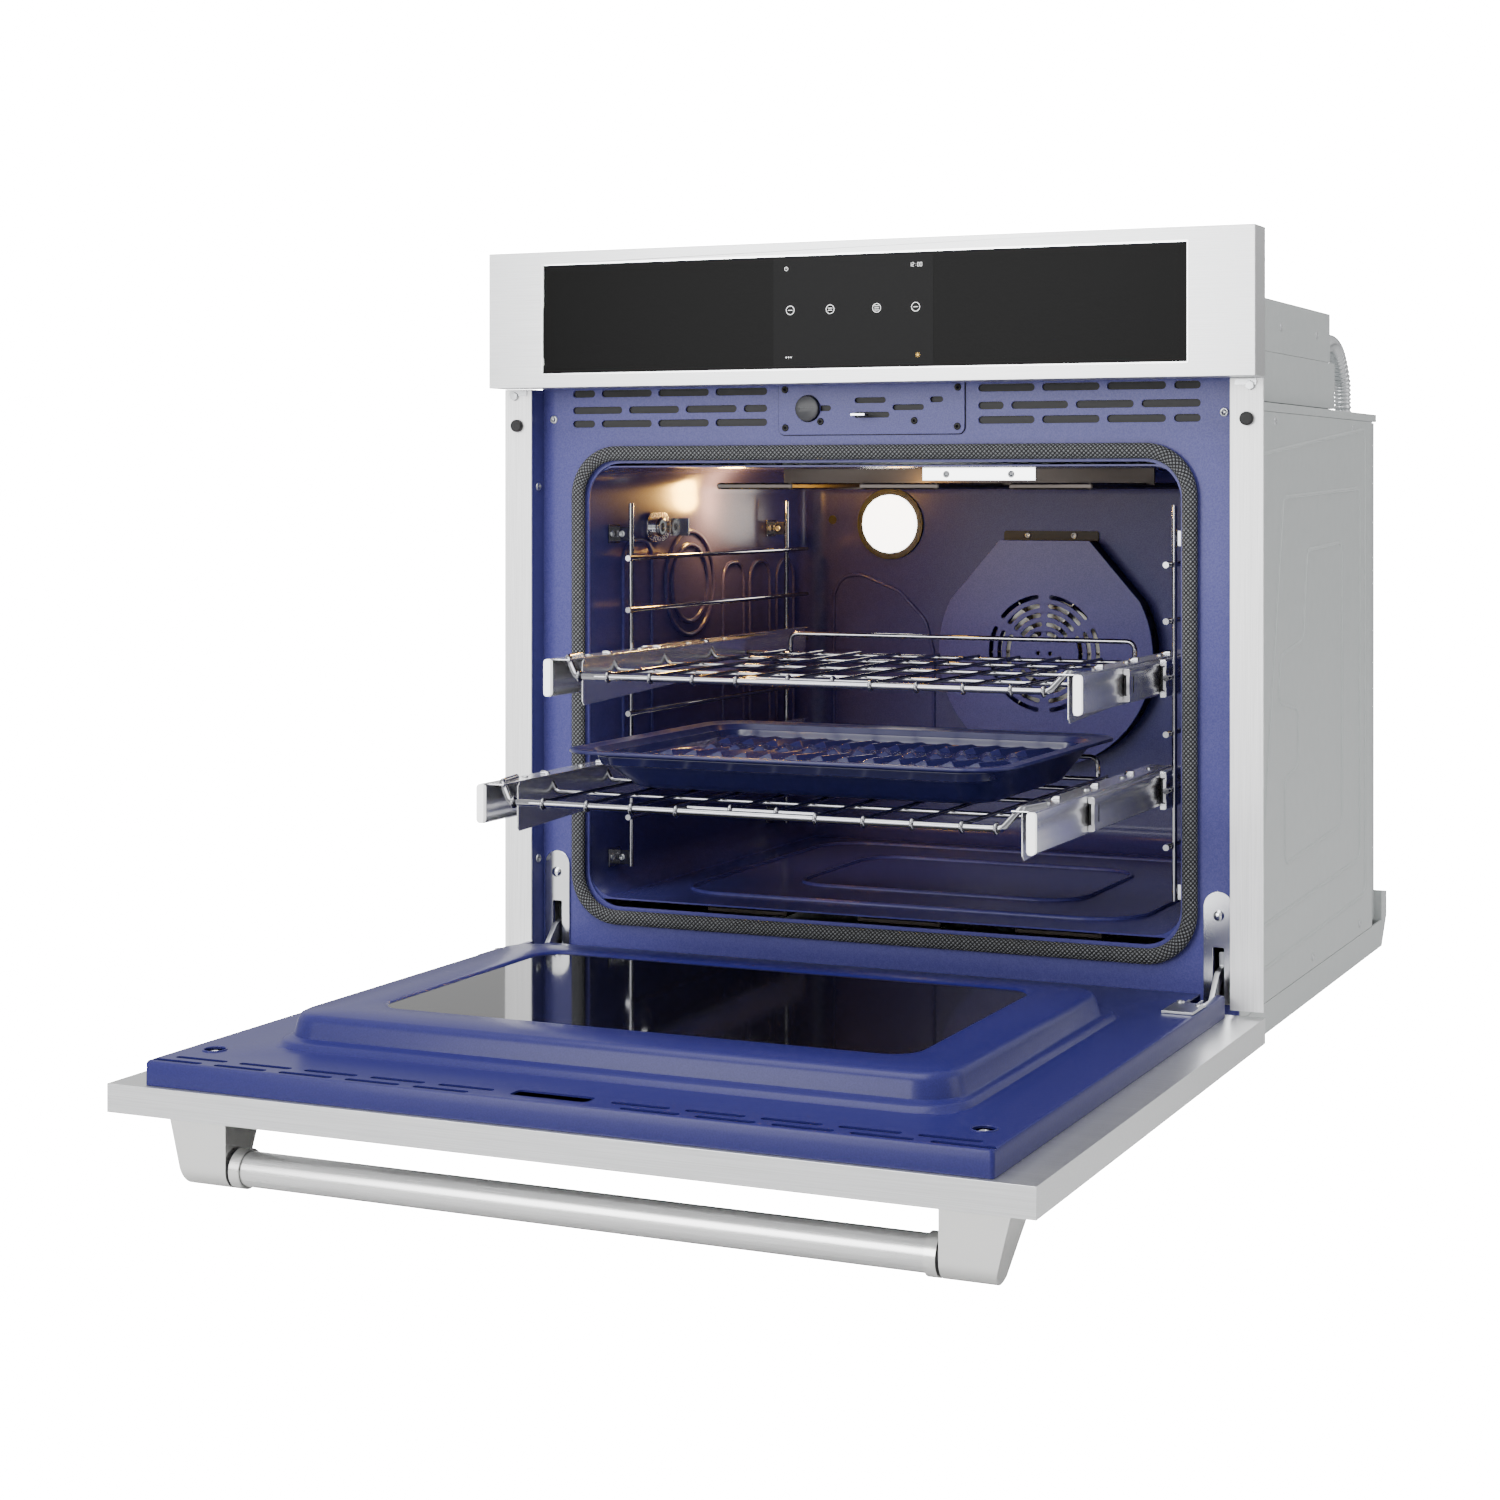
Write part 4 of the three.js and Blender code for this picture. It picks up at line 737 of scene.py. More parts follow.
round_edges(plate, 0.5 * MM, 2, 40)
flanges = []
strip_foot, strip_top = strip_low[2], strip_high[2]
for sign in (-1, 1):
    low_x, high_x = sorted((sign * frame_half, sign * (frame_half - 1.5 * MM)))
    flanges.append(block("flange", (low_x, frame_low[1], strip_foot), (high_x, face + 1 * MM, strip_top)))
fit(joined([plate] + flanges), "front_enamel", blue_enamel, "blue_enamel", "oven", "front_frame")
# A dark sheet behind the vents: painted shade, so the openings read dark instead of showing the lid behind
# them.
shade = sheet("shade", [rounded(0, 570 * MM, 646 * MM, 44 * MM, 2 * MM), seat], "xz",
              frame_rear + 0.05 * MM, frame_rear + 0.25 * MM)
fit(shade, "vent_shade", dark_and_shade_paint, "black_plastic", "oven")
# A second dark sheet behind the lock plate's slots, also painted shade.
outline = rounded(0, lock_middle + 1 * MM, lock_size[0] - 17 * MM, lock_size[1] - 11 * MM, 1 * MM, 2)
inner = sheet("shade", [outline, disc(*button, button_radius * 0.5)], "xz", lock_high[1] + 1.2 * MM,
              lock_high[1] + 1.8 * MM)
fit(inner, "lock_shade", dark_and_shade_paint, "black_plastic", "oven")
spots = []
for sign in (-1, 1):
    spots.append(facing((sign * 336.4 * MM, face, fascia_high[2] - 158.3 * MM), (0, -1, 0)))
    for z in (494 * MM, 133 * MM):
        spots.append(facing((sign * (frame_half - 1.6 * MM), (frame_low[1] + face) / 2, z), (-sign, 0, 0)))
screws("frame_screws", 4.2 * MM, 2.6 * MM, spots)


# ---- Lock plate, latch and door switch ----
# An enamelled plate over the frame with a dark joint line round it, level slots, and dark socket
# screws. The latch is a bright blade in its own slot, and the switch a dark disc with a groove.
LOCK_SLOTS = [(-46.3, -150.5, 13.4), (0, -143.6, 31.4), (1.4, -157.1, 36), (38, -150.5, 31.3),
              (66.1, -143.6, 13)]
slots = [rounded(x * MM, fascia_high[2] + z * MM, length * MM, 5.4 * MM, 2.69 * MM, 5)
         for x, z, length in LOCK_SLOTS]
edge = rounded(0, lock_middle, *lock_size, 6 * MM)
cover = sheet("lock", [edge, disc(*button, button_radius + 0.6 * MM)] + slots, "xz", lock_low[1],
              lock_high[1])
round_edges(cover, 0.4 * MM, 2, 40)
fit(cover, "lock_cover", blue_enamel, "blue_enamel", "oven", "lock_plate")
joint = rounded(0, lock_middle, lock_size[0] + 0.8 * MM, lock_size[1] + 0.8 * MM, 6.4 * MM)
line = wire("line", [(u, lock_high[1] - 0.1 * MM, v) for u, v in joint], 0.45 * MM, 0, 8, True)
fit(line, "lock_joint_line", dark_and_shade_paint, "black_plastic", "oven")


def socket_screw(radius, height):
    """A low button screw with a hexagonal socket, its seat at the origin."""
    bpy.ops.mesh.primitive_cylinder_add(vertices=28, radius=radius, depth=height,
                                        location=(0, 0, height / 2))
    head = bpy.context.object
    round_edges(head, height * 0.42, 3, 60)
    bpy.ops.mesh.primitive_cylinder_add(vertices=6, radius=radius * 0.5, depth=height,
                                        location=(0, 0, height))
    cut(head, bpy.context.object)
    smooth(head, 40)
    return head


BOLTS = [(-86.9, -132.8), (86.9, -132.8), (-86.5, -168.5), (86.5, -168.5), (-50.4, -162.9), (44.1, -162.9)]
heads = copies(socket_screw(3.4 * MM, 2.2 * MM),
               [facing((x * MM, lock_low[1], fascia_high[2] + z * MM), (0, -1, 0)) for x, z in BOLTS])
fit(heads, "lock_screws", dark_and_shade_paint, "polished_steel", "oven")
switch = softened("door_switch_button", 0.8 * MM)
GROOVE = (button_radius * 0.65, 0.8 * MM)
groove = block("groove", (button[0] - GROOVE[0], button_low[1] - GROOVE[1], button[1] - GROOVE[1]),
               (button[0] + GROOVE[0], button_low[1] + GROOVE[1], button[1] + GROOVE[1]))
cut(switch, groove)
switch_plastic = start_material("dark grey moulded plastic", "#24252c", 0.38)[0]
fit(switch, "switch_cap", switch_plastic, "black_plastic", "door_switch", "door_switch_button")
dress("lock_latch", 0.4 * MM, "latch_blade", bright_steel, "chromed_wire", "latch")


# ---- Braided door gasket ----
# A round braided tube of pale glass yarn, woven in two crossing sets of slanting strands; the hollows
# between the strands are painted near-black as shade. The tube runs round the cavity mouth with rounded
# corners.
gasket_wide = 14 * MM
gasket_radius = gasket_wide / 2
line_w, line_h = gasket_high[0] - gasket_low[0] - gasket_wide, gasket_high[2] - gasket_low[2] - gasket_wide
centre_y = (gasket_low[1] + gasket_high[1]) / 2
loop = rounded(0, mouth_z, line_w, line_h, 41 * MM, 14)
dense = []
for (u0, v0), (u1, v1) in zip(loop, loop[1:] + loop[:1]):
    parts = max(1, round(math.hypot(u1 - u0, v1 - v0) / (6 * MM)))
    dense += [(u0 + (u1 - u0) * k / parts, v0 + (v1 - v0) * k / parts) for k in range(parts)]
AROUND = 28
verts, faces = [], []
length = sum(math.hypot(b[0] - a[0], b[1] - a[1]) for a, b in zip(dense, dense[1:] + dense[:1]))
for i, (u, v) in enumerate(dense):
    before, after = dense[i - 1], dense[(i + 1) % len(dense)]
    along = Vector((after[0] - before[0], 0, after[1] - before[1])).normalized()
    out = Vector((along.z, 0, -along.x))
    for k in range(AROUND):
        turn = k * math.tau / AROUND
        offset = out * math.cos(turn) * gasket_radius
        verts.append(Vector((u, centre_y + math.sin(turn) * (gasket_high[1] - gasket_low[1]) / 2, v))
                     + offset)
rows = len(dense)
for i in range(rows):
    for k in range(AROUND):
        faces.append((i * AROUND + k, i * AROUND + (k + 1) % AROUND,
                      (i + 1) % rows * AROUND + (k + 1) % AROUND, (i + 1) % rows * AROUND + k))
mesh = bpy.data.meshes.new("gasket_tube")
mesh.from_pydata(verts, [], faces)
layer = mesh.uv_layers.new(name="braid")
reach = [0.0]
for a, b in zip(dense, dense[1:] + dense[:1]):
    reach.append(reach[-1] + math.hypot(b[0] - a[0], b[1] - a[1]))
for polygon in mesh.polygons:
    i, k = divmod(polygon.index, AROUND)
    for corner, (di, dk) in zip(polygon.loop_indices, ((0, 0), (0, 1), (1, 1), (1, 0))):
        layer.data[corner].uv = (reach[i + di] / length, (k + dk) / AROUND)
tube = bpy.data.objects.new("gasket_tube", mesh)
bpy.context.collection.objects.link(tube)
alone(tube)
bpy.ops.object.shade_smooth()
STRAND = 4.2 * MM                # spacing of the strands along the tube
braid, tree, surface = start_material("braided glass-fibre gasket", "#6d6f70", 0.7)
place = add_node(tree, "ShaderNodeUVMap", uv_map="braid").outputs["UV"]
heights = []
count = round(length / (STRAND * 2))
for slant in (1, -1):
    turned = add_node(tree, "ShaderNodeMapping", {"Vector": place, "Scale": (count, 5.0 * slant, 0)})
    split = add_node(tree, "ShaderNodeSeparateXYZ", {"Vector": turned.outputs["Vector"]})
    total = add_node(tree, "ShaderNodeMath", {0: split.outputs["X"], 1: split.outputs["Y"]},
                     operation="ADD")
    cycle = add_node(tree, "ShaderNodeMath", {0: total.outputs["Value"], 1: math.tau}, operation="MULTIPLY")
    wave = add_node(tree, "ShaderNodeMath", {0: cycle.outputs["Value"]}, operation="SINE")
    heights.append(add_node(tree, "ShaderNodeMath", {0: wave.outputs["Value"]},
                            operation="ABSOLUTE").outputs["Value"])
top = add_node(tree, "ShaderNodeMath", {0: heights[0], 1: heights[1]}, operation="MULTIPLY")
# Near-black where the strands dip and grey on their crests: painted shade in the weave's hollows.
shades(tree, surface, top.outputs["Value"], colour("#0c0c0e"), colour("#77797c"), (0.2, 0.8))
bump = add_node(tree, "ShaderNodeBump",
                {"Height": top.outputs["Value"], "Strength": 1.0, "Distance": 0.0012})
tree.links.new(bump.outputs["Normal"], surface.inputs["Normal"])
fit(tube, "braided_gasket", braid, "woven_gasket", "oven", "gasket")


# ---- Cavity liner ----
# One enamelled box with rounded corners. Low ridges are pressed into its walls: a ring and upright
# panels on each side, an arch on the back, and a wide outline on the floor.
roof_low, roof_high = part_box("cavity_roof")
floor_low, floor_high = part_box("cavity_floor")
back_low, back_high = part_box("cavity_back")
CORNER = 28 * MM
wall_x, wall_back = roof_high[0], back_low[1]
cavity_floor, cavity_roof = floor_high[2], roof_low[2]
LINER_SHEET = 1.7 * MM
liner = block("liner", (-wall_x - LINER_SHEET, roof_low[1], floor_low[2]),
              (wall_x + LINER_SHEET, back_high[1], roof_high[2]))
room = block("room", (-wall_x, roof_low[1] - 60 * MM, cavity_floor), (wall_x, wall_back, cavity_roof))
apply(room, "BEVEL", width=CORNER, segments=7, limit_method="NONE", use_clamp_overlap=False)
cut(liner, room)
smooth(liner, 35)
PRESS = 2.2 * MM
ridges = []
for sign in (-1, 1):
    wall = sign * (wall_x - 0.2 * MM)
    for radius in (54 * MM, 40 * MM):
        ring = [(wall, u, v) for u, v in disc(FRONT + 263 * MM, 393.5 * MM, radius, 40)]
        ridges.append(wire("ridge", ring, PRESS * 1.3, 0, 8, True))
    for depth, width, foot, top in ((150, 60, 190, 440), (365, 50, 200, 412), (430, 50, 200, 412),
                                    (495, 44, 190, 412)):
        shape = rounded(FRONT + depth * MM, (foot + top) / 2 * MM, width * MM, (top - foot) * MM, 20 * MM)
        ridges.append(wire("ridge", [(wall, u, v) for u, v in shape], PRESS, 0, 8, True))
arch = [(-263, 190), (-263, 372), (-252, 392), (-228, 394), (-182, 376), (-150, 344), (-140, 308),
        (-140, 190)]
ridges.append(wire("ridge", [(x * MM, wall_back - 0.2 * MM, z * MM) for x, z in arch], PRESS, 26 * MM, 8,
                   True))
for width, depth, radius in ((470, 380, 50), (300, 210, 40)):
    shape = rounded(0, FRONT + 300 * MM, width * MM, depth * MM, radius * MM)
    ridges.append(wire("ridge", [(u, v, cavity_floor + 0.2 * MM) for u, v in shape], PRESS * 1.2, 0, 8,
                       True))
deep_enamel = enamel("blue porcelain enamel, cavity", "#403f7c", "#363570", 0.22)
fit(joined([liner] + ridges), "cavity_liner", deep_enamel, "blue_enamel", "oven", "cavity_roof",
    "cavity_floor", "cavity_side_left", "cavity_side_right", "cavity_back")
# A dark disc on the back wall, painted shade where the sensor hole is.
hole = sheet("hole", [disc(-264.6 * MM, 456 * MM, 5 * MM)], "xz", wall_back - 0.5 * MM,
             wall_back + 0.1 * MM)
fit(hole, "sensor_hole", dark_and_shade_paint, "black_plastic", "oven")


# ---- Oven lamp ----
# A glowing frosted lens in a dark seal ring. Two small warm lamps, one by the left wall and one
# under the roof, throw the amber glow over the enamel.
lens_low, lens_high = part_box("lamp_lens")
lens_x, lens_z = (lens_low[0] + lens_high[0]) / 2, (lens_low[2] + lens_high[2]) / 2
lens_radius = (lens_high[0] - lens_low[0]) / 2
lamp_glass = glowing("frosted lamp glass, lit", "#ffffff", 0.3, "#fffdf8", 7.0)
dress("lamp_lens", 2 * MM, "lens", lamp_glass, "lamp_glass")
loops = [disc(lens_x, lens_z, lens_radius + grow * MM, 48) for grow in (7, 0.3)]
seal = sheet("seal", loops, "xz", wall_back - 3 * MM, wall_back)
round_edges(seal, 1 * MM, 2, 40)
fit(seal, "lamp_seal", dark_and_shade_paint, "black_plastic", "oven")
WARM = [("side_lamp", (-0.268, -0.035, 0.478), 2.0), ("roof_lamp", (-0.05, -0.10, 0.49), 0.25)]
for name, at, power in WARM:
    bpy.ops.object.light_add(type="POINT", location=at)
    glow = bpy.context.object
    glow.name = name
    glow.data.energy = power
    glow.data.color = colour("#ffbf52")[:3]
    glow.data.shadow_soft_size = 0.014


# ---- Convection fan behind its cover ----
# The cover is a flat enamelled face with rings of curved slots, and an enamelled side wall with small vents,
# painted near-black as shade.
# Behind it turn the plain steel blades, inside the ring heater.
cover_low, cover_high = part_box("fan_cover")
FAN_Z = 311.5 * MM
cover_half = cover_high[0]
cover_top = cover_high[2]


def cover_outline(grow):
    """The cover's outline: a circle cut off by a short level top edge."""
    radius, start = cover_half + grow, math.radians(28)
    points = [(-52 * MM - grow, cover_top + grow)]
    for k in range(49):
        turn = math.pi - start + (math.pi + 2 * start) * k / 48
        points.append((radius * math.cos(turn), FAN_Z + radius * math.sin(turn)))
    return points + [(52 * MM + grow, cover_top + grow)]


def arc_slot(radius, width, start, end, steps=10):
    """A curved slot with round ends about the fan's axis, angles in degrees from level."""
    inner, outer = radius - width / 2, radius + width / 2
    start, end = math.radians(start), math.radians(end)

    def sweep(size, first, last):
        turns = [first + (last - first) * k / steps for k in range(steps + 1)]
        return [(size * math.cos(turn), FAN_Z + size * math.sin(turn)) for turn in turns]

    def round_end(turn, first):
        swings = [first + math.pi * k / 5 for k in range(1, 5)]
        return [(radius * math.cos(turn) + width / 2 * math.cos(swing),
                 FAN_Z + radius * math.sin(turn) + width / 2 * math.sin(swing)) for swing in swings]

    first_end = round_end(start, start + math.pi)
    return sweep(outer, start, end) + round_end(end, end) + sweep(inner, end, start) + first_end


fan_slots = []
for radius in (22, 32, 42, 52, 62):
    reach = 42 if radius > 25 else 30
    for middle in (61, 119, 241, 299):
        fan_slots.append(arc_slot(radius * MM, 4.6 * MM, middle - reach / 2, middle + reach / 2))
    if radius > 40:
        for middle in (0, 180):
            fan_slots.append(arc_slot(radius * MM, 4.6 * MM, middle - 25, middle + 25))
fan_slots += [disc(x * MM, FAN_Z, 2.2 * MM, 12) for x in (-7, 7)]
face_y = cover_low[1]
front_plate = sheet("fan_face", [cover_outline(0)] + fan_slots, "xz", face_y, face_y + 1.5 * MM)
round_edges(front_plate, 0.6 * MM, 2, 40)
fan_enamel = enamel("blue porcelain enamel, fan cover", "#4c4b92", "#403f84", 0.3)
fit(front_plate, "fan_cover_face", fan_enamel, "blue_enamel", "oven", "fan_cover")
# The side wall and its top flange are enamelled sheet painted near-black here, as painted shade.
band = sheet("band", [cover_outline(-0.3 * MM), cover_outline(-1.8 * MM)], "xz", face_y + 1.5 * MM,
             wall_back - 0.2 * MM)
vents = []
for k in range(15):
    turn = math.radians(-62 + k * 10.5)
    radius = cover_half - 0.2 * MM
    bpy.ops.mesh.primitive_cube_add(size=1)
    vent = bpy.context.object
    vent.scale = (3 * MM, 6 * MM, 8 * MM)
    vent.rotation_euler = (0, -turn, 0)
    vent.location = (radius * math.cos(turn), (face_y + wall_back) / 2, FAN_Z + radius * math.sin(turn))
    if vent.location.z < cover_top - 60 * MM:
        vents.append(vent)
    else:
        bpy.data.objects.remove(vent)
tool = joined(vents)
settle(tool)
cut(band, tool)
flange = sheet("flange", [rounded(0, cover_top + 4 * MM, 110 * MM, 12 * MM, 3 * MM)], "xz",
               wall_back - 2 * MM, wall_back)
fit(joined([band, flange]), "fan_cover_wall", dark_and_shade_paint, "blue_enamel", "oven")
screws("fan_cover_screws", 3.6 * MM, 2.6 * MM,
       [facing((x * MM, wall_back - 2 * MM, cover_top + 5 * MM), (0, -1, 0)) for x in (-27, 27)])
plain_steel = start_material("plain heat-dulled steel", "#8b8a86", 0.36, 1.0)[0]
dress("fan_blade", 0.3 * MM, "fan_wheel", plain_steel, "galvanised_steel", "fan")
heater_steel = start_material("dark heater sheath", "#56504c", 0.42, 0.9)[0]
heater_low, heater_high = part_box("convection_element")
ring_radius = heater_high[0] - 3.2 * MM
heater_y = heater_low[1] + 3.2 * MM
loop = [(u, heater_y, v) for u, v in disc(0, FAN_Z, ring_radius, 60)]
tails = []
for x in (-8, 8):
    run = [(x * MM, y, FAN_Z - ring_radius) for y in (heater_y, heater_high[1])]
    tails.append(wire("tail", run, 3 * MM, 0, 10))
fit(joined([wire("heater", loop, 3.2 * MM, 0, 10, True)] + tails), "ring_heater", heater_steel,
    "heater_sheath", "oven", "convection_element")
dress("fan_motor", 1.5 * MM, "fan_motor_can", galvanised, "galvanised_steel")


# ---- Heaters above and below ----
# Bent sheathed rods. The upper one hangs from a bright bracket near the mouth, held by two screws.
for node, name in (("broil_element", "broil_rods"), ("bake_element", "bake_rods")):
    dress(node, 0.2 * MM, name, heater_steel, "heater_sheath")
BRACKET_Y = roof_low[1] + 30 * MM
bracket = block("bracket", (38 * MM, BRACKET_Y, cavity_roof - 13 * MM),
                (150 * MM, BRACKET_Y + 1.6 * MM, cavity_roof - 0.3 * MM))
round_edges(bracket, 0.5 * MM, 2, 40)
fit(bracket, "broil_bracket", bright_steel, "chromed_wire", "oven")
screws("broil_bracket_screws", 3.2 * MM, 2 * MM,
       [facing((x * MM, BRACKET_Y, cavity_roof - 7 * MM), (0, -1, 0)) for x in (62, 126)])


# ---- Side ladders ----
# Chromed wire ladders: two uprights a side, six level wires with bright rounded tips, and a small
# screwed clip plate at the head and foot of each upright.
chrome = start_material("bright chromed wire", "#9a9a9f", 0.12, 1.0)[0]
WIRE = 2.4 * MM
UPRIGHT_X, LEVEL_X = 277 * MM, 273 * MM
UPRIGHTS = (FRONT + 99 * MM, FRONT + 455 * MM)
LEVELS = [(171 + 50.6 * k) * MM for k in range(6)]
for side, sign in SIDES:
    ladder_low, ladder_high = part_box("rack_ladder_" + side)
    foot, top = ladder_low[2], ladder_high[2]
    wires, clips, spots = [], [], []
    for depth in UPRIGHTS:
        wires.append(wire("upright", [(sign * UPRIGHT_X, depth, z) for z in (foot, top)], WIRE, 0, 12))
        for z in (foot + 8 * MM, top - 30 * MM):
            low_x, high_x = sorted((sign * 276 * MM, sign * (wall_x - 0.5 * MM)))
            clips.append(block("clip", (low_x, depth + 1 * MM, z - 7 * MM),
                               (high_x, depth + 3 * MM, z + 7 * MM)))
            low_x, high_x = sorted((sign * (wall_x - 2.2 * MM), sign * (wall_x - 0.5 * MM)))
            clips.append(block("foot", (low_x, depth - 10 * MM, z - 9 * MM),
                               (high_x, depth + 12 * MM, z + 9 * MM)))
            spots.append(facing((sign * (wall_x - 2.2 * MM), depth - 4 * MM, z), (-sign, 0, 0)))
            spots.append(facing((sign * 288 * MM, depth + 1 * MM, z), (0, -1, 0)))
    for z in LEVELS:
        start = ladder_low[1]
        run = [(sign * LEVEL_X, y, z) for y in (start + 5 * MM, ladder_high[1])]
        wires.append(wire("level", run, WIRE, 0, 12))
        run = [(sign * LEVEL_X, y, z) for y in (start, start + 14 * MM)]
        tip = wire("tip", run, WIRE + 0.5 * MM, 0, 12)
        round_edges(tip, 1.6 * MM, 3, 50)
        wires.append(tip)
    for clip in clips:
        round_edges(clip, 0.4 * MM, 2, 40)
    fit(joined(wires + clips), "ladder_" + side, chrome, "chromed_wire", "oven", "rack_ladder_" + side)
    screws("ladder_screws_" + side, 3.2 * MM, 2 * MM, spots)


# ---- Glide racks on their slides ----
# Chromed wire shelves. The front bar bends up over each slide, the long wires wrap round it in small
# rings, and the cross wires rise over the slides. Each slide is three folded steel members, the moving
# one with a rounded white end cap, the others with a small steel retainer at the front.
def channel(name, inner, outer, middle_z, height, start, end):
    """A folded C-shaped slide member along Y, open towards the middle of the oven."""
    thick, lip = 1.1 * MM, height / 2
    sign = 1 if outer > 0 else -1
    depth = abs(outer - inner)
    profile = [(0, lip), (depth - 1.2 * MM, lip), (depth, lip - 1.2 * MM), (depth, 8 * MM),
               (depth - 1.4 * MM, 6 * MM), (depth - 1.4 * MM, -6 * MM), (depth, -8 * MM),
               (depth, -lip + 1.2 * MM), (depth - 1.2 * MM, -lip), (0, -lip), (0, -lip + thick),
               (depth - 1.5 * MM, -lip + thick), (depth - thick, -lip + 2 * MM), (depth - thick, -8.6 * MM),
               (depth - 2.5 * MM, -6.6 * MM), (depth - 2.5 * MM, 6.6 * MM), (depth - thick, 8.6 * MM),
               (depth - thick, lip - 2 * MM), (depth - 1.5 * MM, lip - thick), (0, lip - thick)]
    loop = [(inner + sign * u, middle_z + v) for u, v in profile]
    return sheet(name, [loop], "xz", start, end)


slide_steel = start_material("bright rolled slide steel", "#eeeef0", 0.22, 0.9)[0]
slide_dark = start_material("slide grease and shadow black", "#101012", 0.5)[0]
# The end caps glow a little: painted light that makes them read brighter and whiter.
cap_white_painted_glow = glowing("white heat-proof end cap, painted glow", "#ffffff", 0.4, "#ffffff", 1.2)
RING_X = (64.3, 107.2, 150.0, 193.0, 222.4)
LONG_X = (21.45, 64.35, 107.25, 150.15, 193.05)
BAR = 3.0 * MM
for name, level in (("upper", 3), ("lower", 1)):
    body = name + "_rack"
    rack_low, rack_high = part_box("rack_" + name)
    z = LEVELS[level]
    bar_y = rack_low[1] + BAR
    rail_start = bar_y - 4 * MM
    rail_end = rail_start + 376 * MM
    rail_mid = z - 2 * MM
    rail_top = rail_mid + 17 * MM
    over = rail_top + 1 * MM
    wires = [wire("bar", [(-206 * MM, bar_y, z), (206 * MM, bar_y, z)], BAR, 0, 16)]
    for sign in (-1, 1):
        hook = [(205, 0, 0), (227, 1, 0), (240, 9, over - z), (247, 44, over - z)]
        bent = [(sign * x * MM, bar_y + y * MM, z + rise) for x, y, rise in hook]
        wires.append(wire("hook", bent, BAR, 7 * MM, 16, False, 8))
    short_y = bar_y + 16 * MM
    wires.append(wire("short", [(x * MM, short_y, z + 1 * MM) for x in (-62, 62)], WIRE, 0, 12))
    long_z = z + 2 * MM
    for x in LONG_X:
        start = short_y if x < 30 else bar_y
        rise = [(start, long_z + 1.2 * MM), (start + 10 * MM, long_z), (rail_end - 2 * MM, long_z)]
        for sign in (-1, 1):
            wires.append(wire("long", [(sign * x * MM, y, h) for y, h in rise], 1.7 * MM, 3 * MM, 10))
    bpy.ops.mesh.primitive_torus_add(major_radius=BAR + 0.9 * MM, minor_radius=1.5 * MM, major_segments=20,
                                     minor_segments=10)
    places = []
    for x in RING_X:
        places += [facing((sign * x * MM, bar_y, z), (1, 0, 0)) for sign in (-1, 1)]
    places += [facing((sign * 21.45 * MM, short_y, z + 1 * MM), (1, 0, 0)) for sign in (-1, 1)]
    rings = copies(bpy.context.object, places)
    alone(rings)
    bpy.ops.object.shade_smooth()
    wires.append(rings)
    cross_z = long_z - 2.6 * MM
    for depth in (90, 190, 290):
        y = rail_start + depth * MM
        half = [(246, over), (240, over), (230, cross_z)]
        run = [(-x * MM, y, h) for x, h in half] + [(x * MM, y, h) for x, h in reversed(half)]
        wires.append(wire("cross", run, 2.2 * MM, 6 * MM, 12))
    rear_y = rail_end - 4 * MM
    wires.append(wire("rear", [(x * MM, rear_y, cross_z) for x in (-235, 235)], 2.2 * MM, 0, 12))
    guard_top = rack_high[2] - WIRE
    guard = [(-185, long_z), (-185, guard_top), (185, guard_top), (185, long_z)]
    wires.append(wire("guard", [(x * MM, rear_y, h) for x, h in guard], WIRE, 13 * MM, 12, False, 8))
    fit(joined(wires), "wire_shelf_" + name, chrome, "chromed_wire", body, "rack_" + name)

    sheets, caps, rivets = [], [], []
    for sign in (-1, 1):
        sheets.append(channel("moving", sign * 250 * MM, sign * 255.7 * MM, rail_mid, 34 * MM, rail_start,
                              rail_end))
        low_x, high_x = sorted((sign * 234 * MM, sign * 255 * MM))
        ledge = block("ledge", (low_x, rail_start + 6 * MM, rail_top - 1.5 * MM),
                      (high_x, rail_end, rail_top - 0.1 * MM))
        low_x, high_x = sorted((sign * 234 * MM, sign * 235.4 * MM))
        outline = [(rail_start + 34 * MM, rail_top), (rail_start + 30 * MM, rail_top - 4 * MM),
                   (rail_start + 30 * MM, rack_low[2] + 4 * MM), (rail_start + 33 * MM, rack_low[2]),
                   (rail_end - 12 * MM, rack_low[2] + 14 * MM), (rail_end - 10 * MM, rail_top)]
        skirt = sheet("skirt", [outline], "yz", low_x, high_x)
        round_edges(ledge, 0.5 * MM, 2, 40)
        round_edges(skirt, 0.4 * MM, 2, 40)
        sheets += [ledge, skirt]
        cap = sheet("cap", [rounded(sign * 253.4 * MM, rail_mid, 7.2 * MM, 34 * MM, 3.5 * MM)], "xz",
                    rail_start - 1.5 * MM, rail_start + 3 * MM)
        round_edges(cap, 1 * MM, 3, 50)
        caps.append(cap)
        rivets += [facing((sign * 245 * MM, rail_start + y * MM, rail_top), (0, 0, 1))
                   for y in (60, 160, 260, 340)]
    fit(joined(sheets), "moving_slides_" + name, slide_steel, "slide_steel", body)
    fit(joined(caps), "slide_caps_" + name, cap_white_painted_glow, "slide_steel", body)
    bpy.ops.mesh.primitive_cylinder_add(vertices=18, radius=3 * MM, depth=2.4 * MM)
    rivet = bpy.context.object
    round_edges(rivet, 1 * MM, 3, 40)
    fit(copies(rivet, rivets), "slide_rivets_" + name, screw_steel, "chromed_wire", body)

